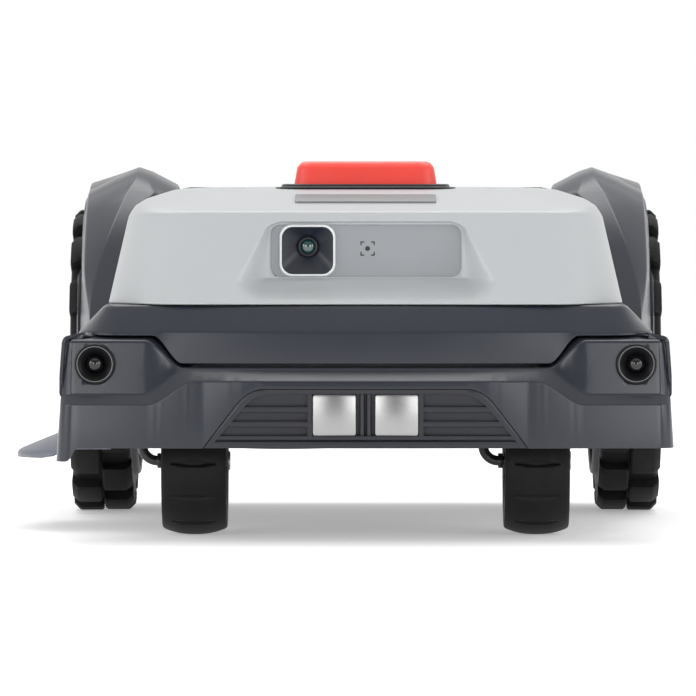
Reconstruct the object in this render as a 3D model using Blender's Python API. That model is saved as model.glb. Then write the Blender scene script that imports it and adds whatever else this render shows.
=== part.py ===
import math

import bpy
import bmesh
from mathutils import Matrix, Vector

for leftover in list(bpy.data.objects):
    bpy.data.objects.remove(leftover, do_unlink=True)

# Sizes in millimetres. x is measured from the machine's centre plane, front is -y.
SCALE = 0.001
CENTRE_X = 17.5
CENTRE_Y = 1.0
GAP = 0.3
FRONT_Y = -320.0
HALF_WIDTH = 236.0
BUMPER_BOTTOM = 73.7
CREASE_Z = 163.5
HOOD_BOTTOM = 185.0
FOLD_Z = 257.0
HOOD_TOP = 275.0
AXLE_Y = 176.0
WHEEL_R = 128.0
WHEEL_IN = 196.0
WHEEL_OUT = 248.0
BLOCKS = 16
CASTER_X = 135.7
CASTER_Y = -215.0
CASTER_TRAIL = 28.0
CASTER_R = 58.5
ROD_R = 4.0
LEG_X = 42.0
DECK_X = -66.0
DECK_Y = 0.0
DISC_R = 85.0
BLADE_PIVOT_R = 72.0
RECESS_R = 117.0
FACE_TILT = math.atan2(30.0, 72.0)
BAY_Y = 44.0

frame_empty = bpy.data.objects.new("machine_frame", None)
bpy.context.scene.collection.objects.link(frame_empty)
frame_empty.location = (CENTRE_X * SCALE, CENTRE_Y * SCALE, 0.0)

LIGHT_GREY = ((0.60, 0.62, 0.64), 0.45, 0.0)
CHARCOAL = ((0.07, 0.075, 0.09), 0.5, 0.0)
BLACK = ((0.012, 0.012, 0.013), 0.45, 0.0)
RUBBER = ((0.02, 0.02, 0.02), 0.8, 0.0)
GREY = ((0.25, 0.26, 0.28), 0.5, 0.0)
RED = ((0.75, 0.04, 0.03), 0.4, 0.0)
STEEL = ((0.55, 0.56, 0.58), 0.3, 1.0)
WHITE = ((0.72, 0.73, 0.74), 0.4, 0.0)
GLASS = ((0.01, 0.03, 0.035), 0.08, 0.0)
GREEN = ((0.03, 0.18, 0.07), 0.5, 0.0)
BLUE = ((0.03, 0.05, 0.12), 0.5, 0.0)


def make_node(name, mesh_data, look, origin=(0.0, 0.0, 0.0)):
    """Link a closed mesh, given in machine millimetres, as one named piece."""
    verts, faces = mesh_data
    centre = Vector(origin)
    mesh = bpy.data.meshes.new(name)
    mesh.from_pydata([(Vector(v) - centre) * SCALE for v in verts], [], faces)
    mesh.update()
    work = bmesh.new()
    work.from_mesh(mesh)
    bmesh.ops.recalc_face_normals(work, faces=work.faces)
    work.to_mesh(mesh)
    work.free()
    piece = bpy.data.objects.new(name, mesh)
    bpy.context.scene.collection.objects.link(piece)
    piece.parent = frame_empty
    piece.location = centre * SCALE
    if look is not None:
        colour, roughness, metallic = look
        material = bpy.data.materials.new(name + "_material")
        material.use_nodes = True
        shader = material.node_tree.nodes["Principled BSDF"]
        shader.inputs["Base Color"].default_value = (*colour, 1.0)
        shader.inputs["Roughness"].default_value = roughness
        shader.inputs["Metallic"].default_value = metallic
        mesh.materials.append(material)
    return piece


def loft(rings):
    """Closed solid through rings of equal point count, capped at both ends."""
    count = len(rings[0])
    verts = [point for ring in rings for point in ring]
    faces = []
    for level in range(len(rings) - 1):
        low = level * count
        for i in range(count):
            j = (i + 1) % count
            faces.append((low + i, low + j, low + count + j, low + count + i))
    faces.append(tuple(reversed(range(count))))
    last = (len(rings) - 1) * count
    faces.append(tuple(last + i for i in range(count)))
    return verts, faces


def ring_loop(rings):
    """Closed solid whose rings join back on themselves, like a tyre or a tube."""
    count = len(rings[0])
    total = len(rings)
    verts = [point for ring in rings for point in ring]
    faces = []
    for level in range(total):
        low = level * count
        high = ((level + 1) % total) * count
        for i in range(count):
            j = (i + 1) % count
            faces.append((low + i, low + j, high + j, high + i))
    return verts, faces


def prism(outline, low, high, axis):
    """Flat outline pulled along one axis; the outline gives the other two."""
    rings = []
    for level in (low, high):
        if axis == "x":
            rings.append([(level, a, b) for a, b in outline])
        elif axis == "y":
            rings.append([(a, level, b) for a, b in outline])
        else:
            rings.append([(a, b, level) for a, b in outline])
    return loft(rings)


def box(x0, x1, y0, y1, z0, z1):
    return prism([(x0, y0), (x1, y0), (x1, y1), (x0, y1)], z0, z1, "z")


def round_rect(x0, x1, y0, y1, radius, steps=4):
    """Rounded rectangle outline, counter-clockwise."""
    points = []
    corners = ((x1, y1, 0), (x0, y1, 90), (x0, y0, 180), (x1, y0, 270))
    for cx, cy, start in corners:
        mx = cx - radius if cx == x1 else cx + radius
        my = cy - radius if cy == y1 else cy + radius
        for k in range(steps + 1):
            angle = math.radians(start + 90.0 * k / steps)
            points.append((mx + radius * math.cos(angle), my + radius * math.sin(angle)))
    return points


def turned(profile, centre, axis, steps):
    """Solid of revolution; a profile touching the axis is closed there."""
    cx, cy, cz = centre
    closed = min(r for r, _ in profile) > 0.001
    verts = []
    faces = []
    index = []
    for r, h in profile:
        row = []
        for k in range(1 if r <= 0.001 else steps):
            angle = 2.0 * math.pi * k / steps
            a = r * math.cos(angle)
            b = r * math.sin(angle)
            if axis == "x":
                verts.append((cx + h, cy + a, cz + b))
            elif axis == "y":
                verts.append((cx + a, cy + h, cz + b))
            else:
                verts.append((cx + a, cy + b, cz + h))
            row.append(len(verts) - 1)
        index.append(row)
    pairs = list(zip(index, index[1:]))
    if closed:
        pairs.append((index[-1], index[0]))
    for first, second in pairs:
        for k in range(steps):
            j = (k + 1) % steps
            corner = [first[k % len(first)], first[j % len(first)]]
            corner += [second[j % len(second)], second[k % len(second)]]
            face = []
            for v in corner:
                if v not in face:
                    face.append(v)
            if len(face) > 2:
                faces.append(tuple(face))
    return verts, faces


def disc(radius, low, high, centre, axis, steps=32):
    cx, cy, cz = centre
    return turned([(0.0, low), (radius, low), (radius, high), (0.0, high)], (cx, cy, cz), axis, steps)


def cutter(name, mesh_data):
    piece = make_node(name, mesh_data, None)
    piece.hide_render = True
    piece.display_type = "WIRE"
    return piece


def boolean(target, tool, operation):
    step = target.modifiers.new(tool.name, "BOOLEAN")
    step.operation = operation
    step.solver = "EXACT"
    step.object = tool


def cut(target, name, mesh_data):
    boolean(target, cutter(name, mesh_data), "DIFFERENCE")


def add(target, name, mesh_data):
    boolean(target, cutter(name, mesh_data), "UNION")


def smooth_step(value, low, high):
    t = min(1.0, max(0.0, (value - low) / (high - low)))
    return t * t * (3.0 - 2.0 * t)


# ---- plan path shared by the bumper and the front shell ----
def plan_path(half, front, back, radius, bow, steps, inward=0.0):
    """Open path from the -x rear end, round the nose, to the +x rear end."""
    limit = half - radius - 6.0
    half = half - inward
    front = front + inward
    radius = max(1.0, radius - inward)
    side = [(-half, y) for y in SIDE_Y if y <= back]
    corner = []
    for k in range(steps + 1):
        angle = math.radians(180.0 + 90.0 * k / steps)
        corner.append((-half + radius + radius * math.cos(angle),
                       front + bow + radius + radius * math.sin(angle)))
    nose_half = half - radius
    nose = []
    for x in NOSE_X:
        if abs(x) < limit:
            nose.append((x, front + bow * min(1.0, abs(x) / nose_half) ** 2))
    left = side + corner
    right = [(-x, y) for x, y in reversed(left)]
    return left + nose + right


NOSE_X = [-208, -190, -172, -160, -148, -136, -80, 0,
          80, 136, 148, 160, 172, 190, 208]
SIDE_Y = [-44, -70, -108, -117, -126, -172, -184, -196, -203, -240]


def swept_sheet(shape, section):
    """Grid of points; section(point) lists (inward setback, z) pairs."""
    base = plan_path(*shape)
    profiles = [section(point) for point in base]
    rows = [[] for _ in base]
    for j in range(len(profiles[0])):
        for i in range(len(base)):
            inward, z = profiles[i][j]
            x, y = plan_path(*shape, inward=inward)[i]
            rows[i].append((x, y, z))
    return rows


def thick_sheet(outer, inner):
    """Closed body between two grids of the same size."""
    rows = len(outer)
    cols = len(outer[0])
    verts = [p for row in outer for p in row] + [p for row in inner for p in row]
    shift = rows * cols
    faces = []
    for i in range(rows - 1):
        for j in range(cols - 1):
            a = i * cols + j
            faces.append((a, a + 1, a + cols + 1, a + cols))
            faces.append((shift + a, shift + a + cols, shift + a + cols + 1, shift + a + 1))
    rim = [j for j in range(cols)]
    rim += [i * cols + cols - 1 for i in range(1, rows)]
    rim += [(rows - 1) * cols + j for j in range(cols - 2, -1, -1)]
    rim += [i * cols for i in range(rows - 2, 0, -1)]
    for k in range(len(rim)):
        a = rim[k]
        b = rim[(k + 1) % len(rim)]
        faces.append((a, b, shift + b, shift + a))
    return verts, faces


def offset_section(section, wall):
    """The same section moved inward by the wall along its own normals."""
    moved = []
    for i, (inward, z) in enumerate(section):
        a = section[max(0, i - 1)]
        b = section[min(len(section) - 1, i + 1)]
        before = Vector((inward - a[0], z - a[1]))
        after = Vector((b[0] - inward, b[1] - z))
        if before.length < 1e-6:
            before = after
        if after.length < 1e-6:
            after = before
        n1 = Vector((before.y, -before.x)).normalized()
        n2 = Vector((after.y, -after.x)).normalized()
        mid = (n1 + n2).normalized()
        reach = wall / max(0.5, mid.dot(n1))
        moved.append((inward + mid.x * reach, z + mid.y * reach))
    return moved


def swept_shell(shape, section, wall):
    outer = swept_sheet(shape, section)
    inner = swept_sheet(shape, lambda p: offset_section(section(p), wall))
    return thick_sheet(outer, inner)


# ---- chassis ----
def build_chassis():
    tub = make_node("chassis_tub", box(-186, 186, -118, 300, 72, 171.7), CHARCOAL)
    cut(tub, "tub_inside", box(-182.5, 182.5, -114.5, 296.5, 75.5, 180))
    add(tub, "blade_hat", disc(RECESS_R + 2.5, 73, 93.5, (DECK_X, DECK_Y, 0), "z", 36))
    cut(tub, "blade_recess", disc(RECESS_R, 60, 90, (DECK_X, DECK_Y, 0), "z", 36))
    cut(tub, "motor_opening", disc(46.0, 80, 100, (DECK_X, DECK_Y, 0), "z", 28))
    add(tub, "front_shelf", box(-212, 212, -276, -115, 140, 148))
    for sign, side in ((-1, "right"), (1, "left")):
        cut(tub, side + "_socket_hole", disc(12.4, 130, 160, (sign * CASTER_X, CASTER_Y, 0), "z", 16))
        cut(tub, side + "_axle_hole", disc(9, -200, 200, (0, AXLE_Y, 128), "x", 20)
            if sign < 0 else disc(3, -130, -100, (150, 0, 100), "y", 12))
    cut(tub, "battery_hole", box(-84, 84, 204, 286, 60, 80))
    make_node("chassis_lid", box(-186, 186, -240, 300, 172, 176), CHARCOAL)

    tower = [(46.3, 93.8), (50, 93.8), (50, 156), (8, 156), (8, 152), (46.3, 152)]
    make_node("deck_tower", turned(tower, (DECK_X, DECK_Y, 0), "z", 28), CHARCOAL)
    make_node("height_motor", disc(14, 156.3, 170, (DECK_X, DECK_Y, 0), "z", 20), GREY)
    make_node("battery_pack", box(-78, 78, 206, 284, 80, 140), BLUE)
    make_node("battery_cover", box(-83.7, 83.7, 204.3, 285.7, 72, 75.5), CHARCOAL)
    make_node("main_board", box(0, 170, -100, 90, 150, 152), GREEN)
    for sign, side in ((-1, "right"), (1, "left")):
        motor = [(0, 95), (37, 95), (37, 182.2), (7, 182.2), (7, 200), (0, 200)]
        motor = [(r, sign * h) for r, h in motor]
        make_node(side + "_drive_motor", turned(motor, (0, AXLE_Y, 128), "x", 28), GREY)
        socket = [(4.4, 128), (12, 128), (12, 152), (4.4, 152)]
        make_node(side + "_caster_socket",
                  turned(socket, (sign * CASTER_X, CASTER_Y, 0), "z", 16), BLACK)


# ---- bumper and front shell ----
def bumper_section(point):
    x, y = point
    side = abs(x)
    top = smooth_step(side, 143, 166)
    low = smooth_step(side, 134, 168)
    ledge = smooth_step(side, 144, 168)

    def mix(a, b, t):
        return a + (b - a) * t

    return [
        (5.0, BUMPER_BOTTOM), (1.2, BUMPER_BOTTOM), (0.0, 76.5),
        (0.0, mix(125.9, 107.7, low)),
        (mix(12.5, 11.0, ledge), mix(134.0, 115.8, ledge)),
        (mix(14.5, 12.0, ledge), mix(135.6, 121.0, ledge)),
        (mix(15.2, 13.5, top), mix(136.2, 154.0, top)),
        (mix(17.5, 17.0, top), mix(136.6, 157.4, top)),
        (mix(30.0, 26.0, top), mix(136.6, 157.8, top)),
    ]


def build_bumper():
    shape = (240.0, FRONT_Y, -203.0, 15.0, 9.0, 4)
    bumper = make_node("bumper", swept_shell(shape, bumper_section, 3.2), CHARCOAL)
    outline = [(-127, 60), (-127, 74), (-102, 103), (-95, 112), (-84, 120)]
    outline = outline + [(-x, z) for x, z in reversed(outline)]
    cut(bumper, "grille_window", prism(outline, -330, -309.5, "y"))
    for sign, side in ((-1, "right"), (1, "left")):
        cut(bumper, side + "_sensor_hole",
            disc(16.3, -330, -270, (sign * 210.7, 0, 139), "y", 20))
        ring = [(6.6, -284), (6.6, -295), (9.0, -297), (13.6, -302.5), (15.0, -302.5),
                (15.7, -301), (15.7, -284)]
        make_node(side + "_sensor_ring", turned(ring, (sign * 210.7, 0, 139), "y", 20), BLACK)
        dome = [(0, -286), (6.2, -286), (6.2, -295.5), (5.2, -299), (3.0, -301.2), (0, -301.8)]
        make_node(side + "_sensor_dome", turned(dome, (sign * 210.7, 0, 139), "y", 16), GLASS)

    inset = [(-126.4, 74.0), (-101.6, 102.8), (-94.8, 111.5), (-83.8, 119.6)]
    inset = inset + [(-x, z) for x, z in reversed(inset)]
    grille = make_node("bumper_grille", prism(inset, -318.5, -311, "y"), CHARCOAL)
    for k, (low, high) in enumerate(((83, 89.5), (94.5, 101), (106, 115))):
        for sign in (-1, 1):
            reach = 108 - (low - 83) * 0.75
            x0, x1 = sorted((sign * 46, sign * reach))
            cut(grille, "slot_%d_%s" % (k, "r" if sign < 0 else "l"),
                box(x0, x1, -330, -314, low, high))
    cut(grille, "plate_pocket", box(-42, 42, -330, -315, 82, 117))
    for sign, side in ((-1, "right"), (1, "left")):
        a, b = sorted((sign * 7.6, sign * 40.9))
        plate = round_rect(a, b, 83.2, 116.2, 2.5, 3)
        make_node(side + "_contact_plate", prism(plate, -317.8, -315.3, "y"), STEEL)


def front_section(point):
    x, y = point
    side = abs(x)
    end = smooth_step(side, 143, 166)
    bottom = 140.2 + (161.3 - 140.2) * end
    back = smooth_step(y, -196, -184)
    under = smooth_step(y, -126, -108)
    bottom = bottom + (130.0 - bottom) * back
    bottom = bottom + (96.0 - bottom) * under
    bottom = min(bottom, 161.3)
    return [
        (1.0, bottom), (0.0, bottom + 1.2), (0.0, CREASE_Z - 1.0), (0.6, CREASE_Z + 0.4),
        (21.5, 182.8), (25.5, 183.6), (34.0, 183.6),
    ]


def build_front_shell():
    shape = (226.0, -303.0, -44.0, 42.0, 9.0, 6)
    make_node("front_shell", swept_shell(shape, front_section, 3.0), CHARCOAL)


# ---- hood ----
def hood_ring(z, half, front, rear, radius, inset):
    half = half - inset
    front = front + inset
    rear = rear - inset
    radius = max(4.0, radius - inset)
    ring = round_rect(-half, half, front, rear + 90.0, radius, 5)
    return [(x, min(y, rear), z) for x, y in ring]


def hood_rings(inset, rear=200.0):
    levels = [
        (185.0, 203.0, -292.0, 66.0), (221.0, 196.5, -277.5, 62.0),
        (250.0, 189.5, -265.4, 56.0), (256.0, 187.0, -262.0, 54.0),
        (259.5, 184.0, -256.0, 52.0), (267.0, 175.0, -227.0, 48.0),
        (272.6, 162.0, -208.0, 42.0), (274.4, 156.0, -199.0, 38.0),
        (HOOD_TOP, 148.0, -190.0, 32.0),
    ]
    rings = []
    for z, half, front, radius in levels:
        drop = inset if z > 258 else inset * max(0.0, (z - 250.0)) / 8.0
        low = z - drop if inset > 0 else z
        rings.append(hood_ring(low, half, front, rear, radius, inset))
    return rings


def face_y(z):
    """Front surface of the hood on the centre plane."""
    return -292.0 + (z - HOOD_BOTTOM) * math.tan(FACE_TILT)


def tilted(points_in_face, depth, centre_z=222.0):
    """Points (x, up, in) in the hood face plane turned into machine points."""
    cos_t = math.cos(FACE_TILT)
    sin_t = math.sin(FACE_TILT)
    base = face_y(centre_z)
    result = []
    for x, up in points_in_face:
        y = base + up * sin_t + depth * cos_t
        z = centre_z + up * cos_t - depth * sin_t
        result.append((x, y, z))
    return result


def face_solid(outline, near, far, shrink=1.0, far_shift=0.0):
    """Solid standing square to the hood face between two depths."""
    far_outline = [(x * shrink, up * shrink + far_shift) for x, up in outline]
    return loft([tilted(outline, near), tilted(far_outline, far)])


RECESS = [(-101, -30), (-99, -23), (-79, 20), (-73, 27), (-66, 30),
          (66, 30), (73, 27), (79, 20), (99, -23), (101, -30)]


def build_hood():
    hood = make_node("hood", loft(hood_rings(0.0)), LIGHT_GREY)
    inside = hood_rings(3.0)
    inside[0] = [(x, y, 180.0) for x, y, _ in inside[0]]
    cut(hood, "hood_inside", loft(inside))
    for sign, side in ((-1, "right"), (1, "left")):
        a, b = sorted((sign * 157.0, sign * 260.0))
        cut(hood, side + "_fender_bay", box(a, b, BAY_Y + GAP, 260.0, 170.0, 300.0))
    cut(hood, "panel_window", face_solid(RECESS, -15, 22))
    button_hole = round_rect(-57.6, 57.6, -172.6, -121.4, 12, 4)
    cut(hood, "button_hole", prism(button_hole, 262, 285, "z"))

    small = [(x * 0.996, up * 0.985) for x, up in RECESS]
    panel = make_node("camera_panel", face_solid(small, 0.3, 11.0), GREY)
    pocket = [(x * 0.955, up * 0.90) for x, up in RECESS]
    cut(panel, "panel_pocket", face_solid(pocket, -5, 8.0))
    bezel_hole = [(x, up) for x, up in round_rect(-67.3, -23.3, -18.0, 27.6 - 2.0, 5, 3)]
    cut(panel, "bezel_hole", face_solid(bezel_hole, -5, 30))
    frame = [(x, up) for x, up in round_rect(-67.0, -23.6, -17.7, 25.3, 5, 3)]
    bezel = make_node("camera_bezel", face_solid(frame, 1.0, 20.0), WHITE)
    cx, cu = -45.3, 4.0
    near = [(cx + x, cu + u) for x, u in round_rect(-19.4, 19.4, -19.0, 19.0, 5, 3)]
    far = [(cx + x, cu + u + 0.5) for x, u in round_rect(-9.2, 9.2, -9.2, 9.2, 3, 3)]
    cut(bezel, "funnel", loft([tilted(near, 0.5), tilted(far, 11.5)]))
    lens_z = 227.2
    lens_y = face_y(lens_z)
    cut(bezel, "barrel_hole", disc(7.8, lens_y + 2, lens_y + 40, (cx, 0, lens_z), "y", 24))
    barrel = [(0, lens_y + 14), (6.4, lens_y + 14), (6.4, lens_y + 10), (7.5, lens_y + 10),
              (7.5, lens_y + 32), (0, lens_y + 32)]
    make_node("camera_barrel", turned(barrel, (cx, 0, lens_z), "y", 24), BLACK)
    lens = [(0, lens_y + 10.4), (3.5, lens_y + 10.9), (6.1, lens_y + 12.2),
            (6.1, lens_y + 13.7), (0, lens_y + 13.7)]
    make_node("camera_lens", turned(lens, (cx, 0, lens_z), "y", 24), GLASS)

    slope = math.atan2(267.0 - 256.0, 35.0)
    plate_x = 55.5
    ring_low = []
    ring_high = []
    for x, along in round_rect(-plate_x, plate_x, -10.4, 10.4, 1.5, 2):
        y = -233.0 + along
        z = hood_height(y)
        ring_low.append((x, y, z + 0.35))
        ring_high.append((x, y, z + 1.2))
    make_node("nameplate", loft([ring_low, ring_high]), STEEL)

    lip = round_rect(-71, 71, -184, -109, 20, 5)
    base = make_node("button_base", prism(lip, HOOD_TOP + GAP, 278.6, "z"), BLACK)
    cut(base, "base_hole", prism(round_rect(-57.6, 57.6, -172.6, -121.4, 12, 4), 270, 290, "z"))
    rings = []
    for z, inset in ((268.0, 0.0), (290.5, 1.2), (294.0, 3.0), (296.3, 6.5)):
        edge = round_rect(-57.1 + inset, 57.1 - inset, -172.1 + inset, -121.9 - inset, 11.5, 4)
        rings.append([(x, y, z) for x, y in edge])
    make_node("stop_button", loft(rings), RED, (0, -147, 282))


def hood_height(y):
    """Height of the hood's sloped top on the centre plane."""
    return 259.5 + (y + 256.0) * (267.0 - 259.5) / 29.0


# ---- fenders and rear ----
ARCH = [(-43.5, 168), (-20, 196), (20, 239), (60, 273), (85, 285), (110, 290.5), (150, 291),
        (200, 287), (240, 276), (270, 261), (298, 236), (317, 204)]


def fender_section(y, height, sign, inset):
    """Cross-section of a fender at one station, from inner foot to outer foot."""
    rise = min(1.0, max(0.0, (height - 175.0) / 110.0))
    ridge = 226.0 - 34.0 * rise ** 1.8
    outer = 232.5 - 4.0 * rise
    inner = 157.3 + 2.0 * rise
    shoulder = height - 17.0 * rise
    top = height - inset
    points = [
        (inner + inset, 60.0 if inset > 0 else 90.0),
        (inner + inset, top - 18.0 * rise),
        (inner + 17.0 * rise + inset * 0.5, top - 3.2 * rise),
        (ridge, top),
        (ridge + (outer - ridge) * 0.5, (top + shoulder - inset) * 0.5 + 1.0 * rise),
        (outer - inset * 0.6, shoulder - inset),
        (outer + 2.0 - inset, shoulder - 9.0),
        (238.0 - inset, min(shoulder - 14.0, 160.0)),
        (238.0 - inset, 60.0 if inset > 0 else 90.0),
    ]
    return [(sign * x, y, z) for x, z in points]


def build_fenders():
    for sign, side in ((-1, "right"), (1, "left")):
        rings = [fender_section(y, h, sign, 0.0) for y, h in ARCH]
        fender = make_node(side + "_fender", loft(rings), CHARCOAL)
        inner = []
        for k, (y, h) in enumerate(ARCH):
            station = y
            if k == 0:
                station = y + 3.0
            if k == len(ARCH) - 1:
                station = y - 3.0
            inner.append(fender_section(station, h, sign, 3.0))
        cut(fender, side + "_fender_inside", loft(inner))
        around_hood = hood_rings(-0.8, BAY_Y + 0.8)
        below = [(x, y, 170.0) for x, y, _ in around_hood[0]]
        around_hood = [below] + around_hood
        cut(fender, side + "_hood_space", loft(around_hood))
        a, b = sorted((sign * 190.0, sign * 260.0))
        cut(fender, side + "_wheel_arch", disc(135, a, b, (0, AXLE_Y, 128), "x", 44))
        a, b = sorted((sign * 120.0, sign * 190.5))
        cut(fender, side + "_lid_bay", box(a, b, -60, 330, 60, 176.3))

    outline = [(203.4, 275.0), (240, 271), (275, 257), (302, 230), (316, 195), (318, 160),
               (318, 78), (303.3, 78)]
    inner = [(303.3, 172), (303.3, 190), (298, 214), (284, 238), (262, 256), (236, 266),
             (203.4, 270)]
    panel = make_node("rear_panel", prism(outline + inner, -156.8, 156.8, "x"), CHARCOAL)
    cut(panel, "grip_slot", box(-55, 55, 262, 330, 205, 232))


def build_side_guard():
    outline = [(-238, -132), (-274, -112), (-282, -92), (-283, -60), (-276, -10), (-262, 22),
               (-238, 34)]
    outer = [(x, y) for x, y in outline]
    low = [(x, y, 57.5) for x, y in outer] + [(-186.4, 34, 57.5), (-186.4, -132, 57.5)]
    mid = [(x, y, 63.5) for x, y in outer] + [(-186.4, 34, 63.5), (-186.4, -132, 63.5)]
    high = []
    for x, y in outer:
        high.append((x * 0.2 - 238 * 0.8, y, 82.0))
    high += [(-186.4, 34, 84), (-186.4, -132, 84)]
    guard = make_node("side_guard", loft([low, mid, high]), CHARCOAL)
    cut(guard, "guard_hollow", box(-232, -180, -126, 28, 50, 66))


# ---- drive wheels ----
def tyre_ring(angle, raised_a, raised_b, sign):
    """One section of the drive tyre; two block rows rise at different angles."""
    body = WHEEL_R - 9.0
    top_a = WHEEL_R if raised_a else body
    top_b = WHEEL_R if raised_b else body
    profile = [
        (96.4, WHEEL_IN + 2), (96.4, WHEEL_OUT - 3), (108, WHEEL_OUT - 1.5),
        (body - 3, WHEEL_OUT - 3), (top_b - 5 if raised_b else body, WHEEL_OUT),
        (top_b, WHEEL_OUT - 6), (top_b, 224.0), (body, 222.5), (top_a, 221.0),
        (top_a, WHEEL_IN + 6), (top_a - 5 if raised_a else body, WHEEL_IN),
        (body - 3, WHEEL_IN + 3), (108, WHEEL_IN + 1.5),
    ]
    cos_a = math.cos(angle)
    sin_a = math.sin(angle)
    ring = []
    for r, x in profile:
        ring.append((sign * x, AXLE_Y + r * cos_a, 128.0 + r * sin_a))
    return ring


def build_drive_wheels():
    pitch = 2.0 * math.pi / BLOCKS
    ramp = 0.05 * pitch
    for sign, side in ((-1, "right"), (1, "left")):
        rings = []
        for k in range(BLOCKS):
            start = k * pitch
            rings.append(tyre_ring(start, True, False, sign))
            rings.append(tyre_ring(start + pitch * 0.5 - ramp, True, False, sign))
            rings.append(tyre_ring(start + pitch * 0.5, False, True, sign))
            rings.append(tyre_ring(start + pitch - ramp, False, True, sign))
        hub = (sign * 222.0, AXLE_Y, 128.0)
        make_node(side + "_drive_tyre", ring_loop(rings), RUBBER, hub)
        rim = [(7.3, 196), (24, 196), (26, 205), (84, 209), (88, 191), (96, 191), (96, 246),
               (90, 246), (84, 232), (40, 226), (30, 236), (24.3, 236), (24.3, 232), (7.3, 232)]
        rim = [(r, sign * x - hub[0]) for r, x in rim]
        make_node(side + "_drive_rim", turned(rim, hub, "x", 24), GREY, hub)
        cap = [(0, 232.3), (24, 232.3), (24, 238), (20, 240.5), (0, 241.5)]
        cap = [(r, sign * x - hub[0]) for r, x in cap]
        make_node(side + "_hub_cap", turned(cap, hub, "x", 20), CHARCOAL, hub)


# ---- casters ----
def rod(path, radii, sides):
    """Round bar along a path with a radius for every point."""
    points = [Vector(p) for p in path]
    rings = []
    up = Vector((0.0, 1.0, 0.0))
    for i, point in enumerate(points):
        a = points[max(0, i - 1)]
        b = points[min(len(points) - 1, i + 1)]
        along = (b - a).normalized()
        across = (up - along * up.dot(along)).normalized()
        third = along.cross(across)
        ring = []
        for k in range(sides):
            angle = 2.0 * math.pi * k / sides
            ring.append(tuple(point + (across * math.cos(angle) + third * math.sin(angle)) * radii[i]))
        rings.append(ring)
    return loft(rings)


def arc_points(centre, radius, start, end, steps):
    points = []
    for k in range(steps + 1):
        angle = math.radians(start + (end - start) * k / steps)
        points.append((centre[0] + radius * math.cos(angle), centre[1] + radius * math.sin(angle)))
    return points


def build_casters():
    for sign, side in ((-1, "right"), (1, "left")):
        cx = sign * CASTER_X
        flat = [(0.0, 150.0), (0.0, 128.0)]
        flat += arc_points((-6.0, 126.0), 6.0, 0, -90, 3)
        flat += arc_points((-32.0, 110.0), 10.0, 90, 180, 3)
        flat += [(-LEG_X, 90.0)]
        flat += arc_points((-32.0, 68.5), 10.0, 180, 270, 3)
        flat += [(-30.0, 58.5), (-29.9, 58.5), (-26.2, 58.5), (-26.1, 58.5), (26.0, 58.5)]
        radii = [ROD_R] * len(flat)
        radii[-4] = 6.2
        radii[-3] = 6.2
        path = []
        for x, z in flat:
            back = CASTER_TRAIL * smooth_step(z, 112.0, 60.0) if z < 112.0 else 0.0
            path.append((cx + x, CASTER_Y + back, z))
        make_node(side + "_caster_fork", rod(path, radii, 8), STEEL, (cx, CASTER_Y, 128))
        axle = (cx, CASTER_Y + CASTER_TRAIL, CASTER_R)
        tyre = [(41.5, -25), (53, -25.5), (57.2, -14), (58.5, 0), (57.2, 14), (53, 25.5),
                (41.5, 25)]
        make_node(side + "_caster_tyre", turned(tyre, axle, "x", 28), RUBBER, axle)
        hub = [(4.4, -24), (12, -24), (16, -14), (34, -14), (40, -20), (40, 20),
               (34, 14), (16, 14), (12, 22), (4.4, 22)]
        make_node(side + "_caster_hub", turned(hub, axle, "x", 20), GREY, axle)
        clip = disc(8.0, 26.3, 28.0, axle, "x", 16)
        make_node(side + "_caster_clip", clip, STEEL, axle)


# ---- cutting deck ----
def build_deck():
    centre = (DECK_X, DECK_Y, 0)
    pivot = (DECK_X, DECK_Y, 90)
    carriage = [(36.3, 88), (45.4, 88), (45.4, 146), (36.3, 146)]
    make_node("lift_carriage", turned(carriage, centre, "z", 28), GREY, pivot)
    motor = [(0, 82.5), (36.0, 82.5), (36.0, 142), (0, 142)]
    make_node("cutting_motor", turned(motor, centre, "z", 28), STEEL, pivot)
    hub = (DECK_X, DECK_Y, 74)
    plate = [(0, 72), (DISC_R - 3, 72), (DISC_R, 73.2), (DISC_R, 74.6), (DISC_R - 6, 76), (26, 76),
             (22, 82.2), (0, 82.2)]
    make_node("blade_disc", turned(plate, (DECK_X, DECK_Y, 0), "z", 28), BLACK, hub)
    skid = [(0, 71.7), (14, 71.7), (16, 66), (60, 66), (61, 64.5), (56, 61.6), (0, 61.6)]
    make_node("skid_plate", turned(skid, (DECK_X, DECK_Y, 0), "z", 24), CHARCOAL,
              (DECK_X, DECK_Y, 66))
    for k in range(3):
        angle = math.radians(90.0 + 120.0 * k)
        px = DECK_X + BLADE_PIVOT_R * math.cos(angle)
        py = DECK_Y + BLADE_PIVOT_R * math.sin(angle)
        outline = [(-5.5, -6), (-3, -8.5), (3, -8.5), (5.5, -6), (8, 6), (8, 29), (5, 33), (-5, 33),
                   (-8, 29), (-8, 6)]
        turn = angle - math.radians(90.0)
        placed = []
        for a, b in outline:
            placed.append((px + a * math.cos(turn) - b * math.sin(turn),
                           py + a * math.sin(turn) + b * math.cos(turn)))
        blade = make_node("blade_%d" % (k + 1), prism(placed, 70.5, 71.6, "z"), STEEL,
                          (px, py, 71))
        cut(blade, "blade_hole_%d" % (k + 1),
            disc(2.6, -5, 5, (px, py, 71), "z", 16))
        screw = [(0, 71.7), (2.2, 71.7), (2.2, 70.2), (5, 70.2), (4.4, 67.6), (0, 67.6)]
        make_node("blade_screw_%d" % (k + 1), turned(screw, (px, py, 0), "z", 16), STEEL,
                  (px, py, 70))


build_chassis()
build_bumper()
build_front_shell()
build_hood()
build_fenders()
build_side_guard()
build_drive_wheels()
build_casters()
build_deck()

for piece in bpy.context.scene.objects:
    if piece.type == "MESH" and not piece.hide_render:
        piece.data.shade_smooth()
        piece.data.set_sharp_from_angle(angle=math.radians(30.0))
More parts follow.
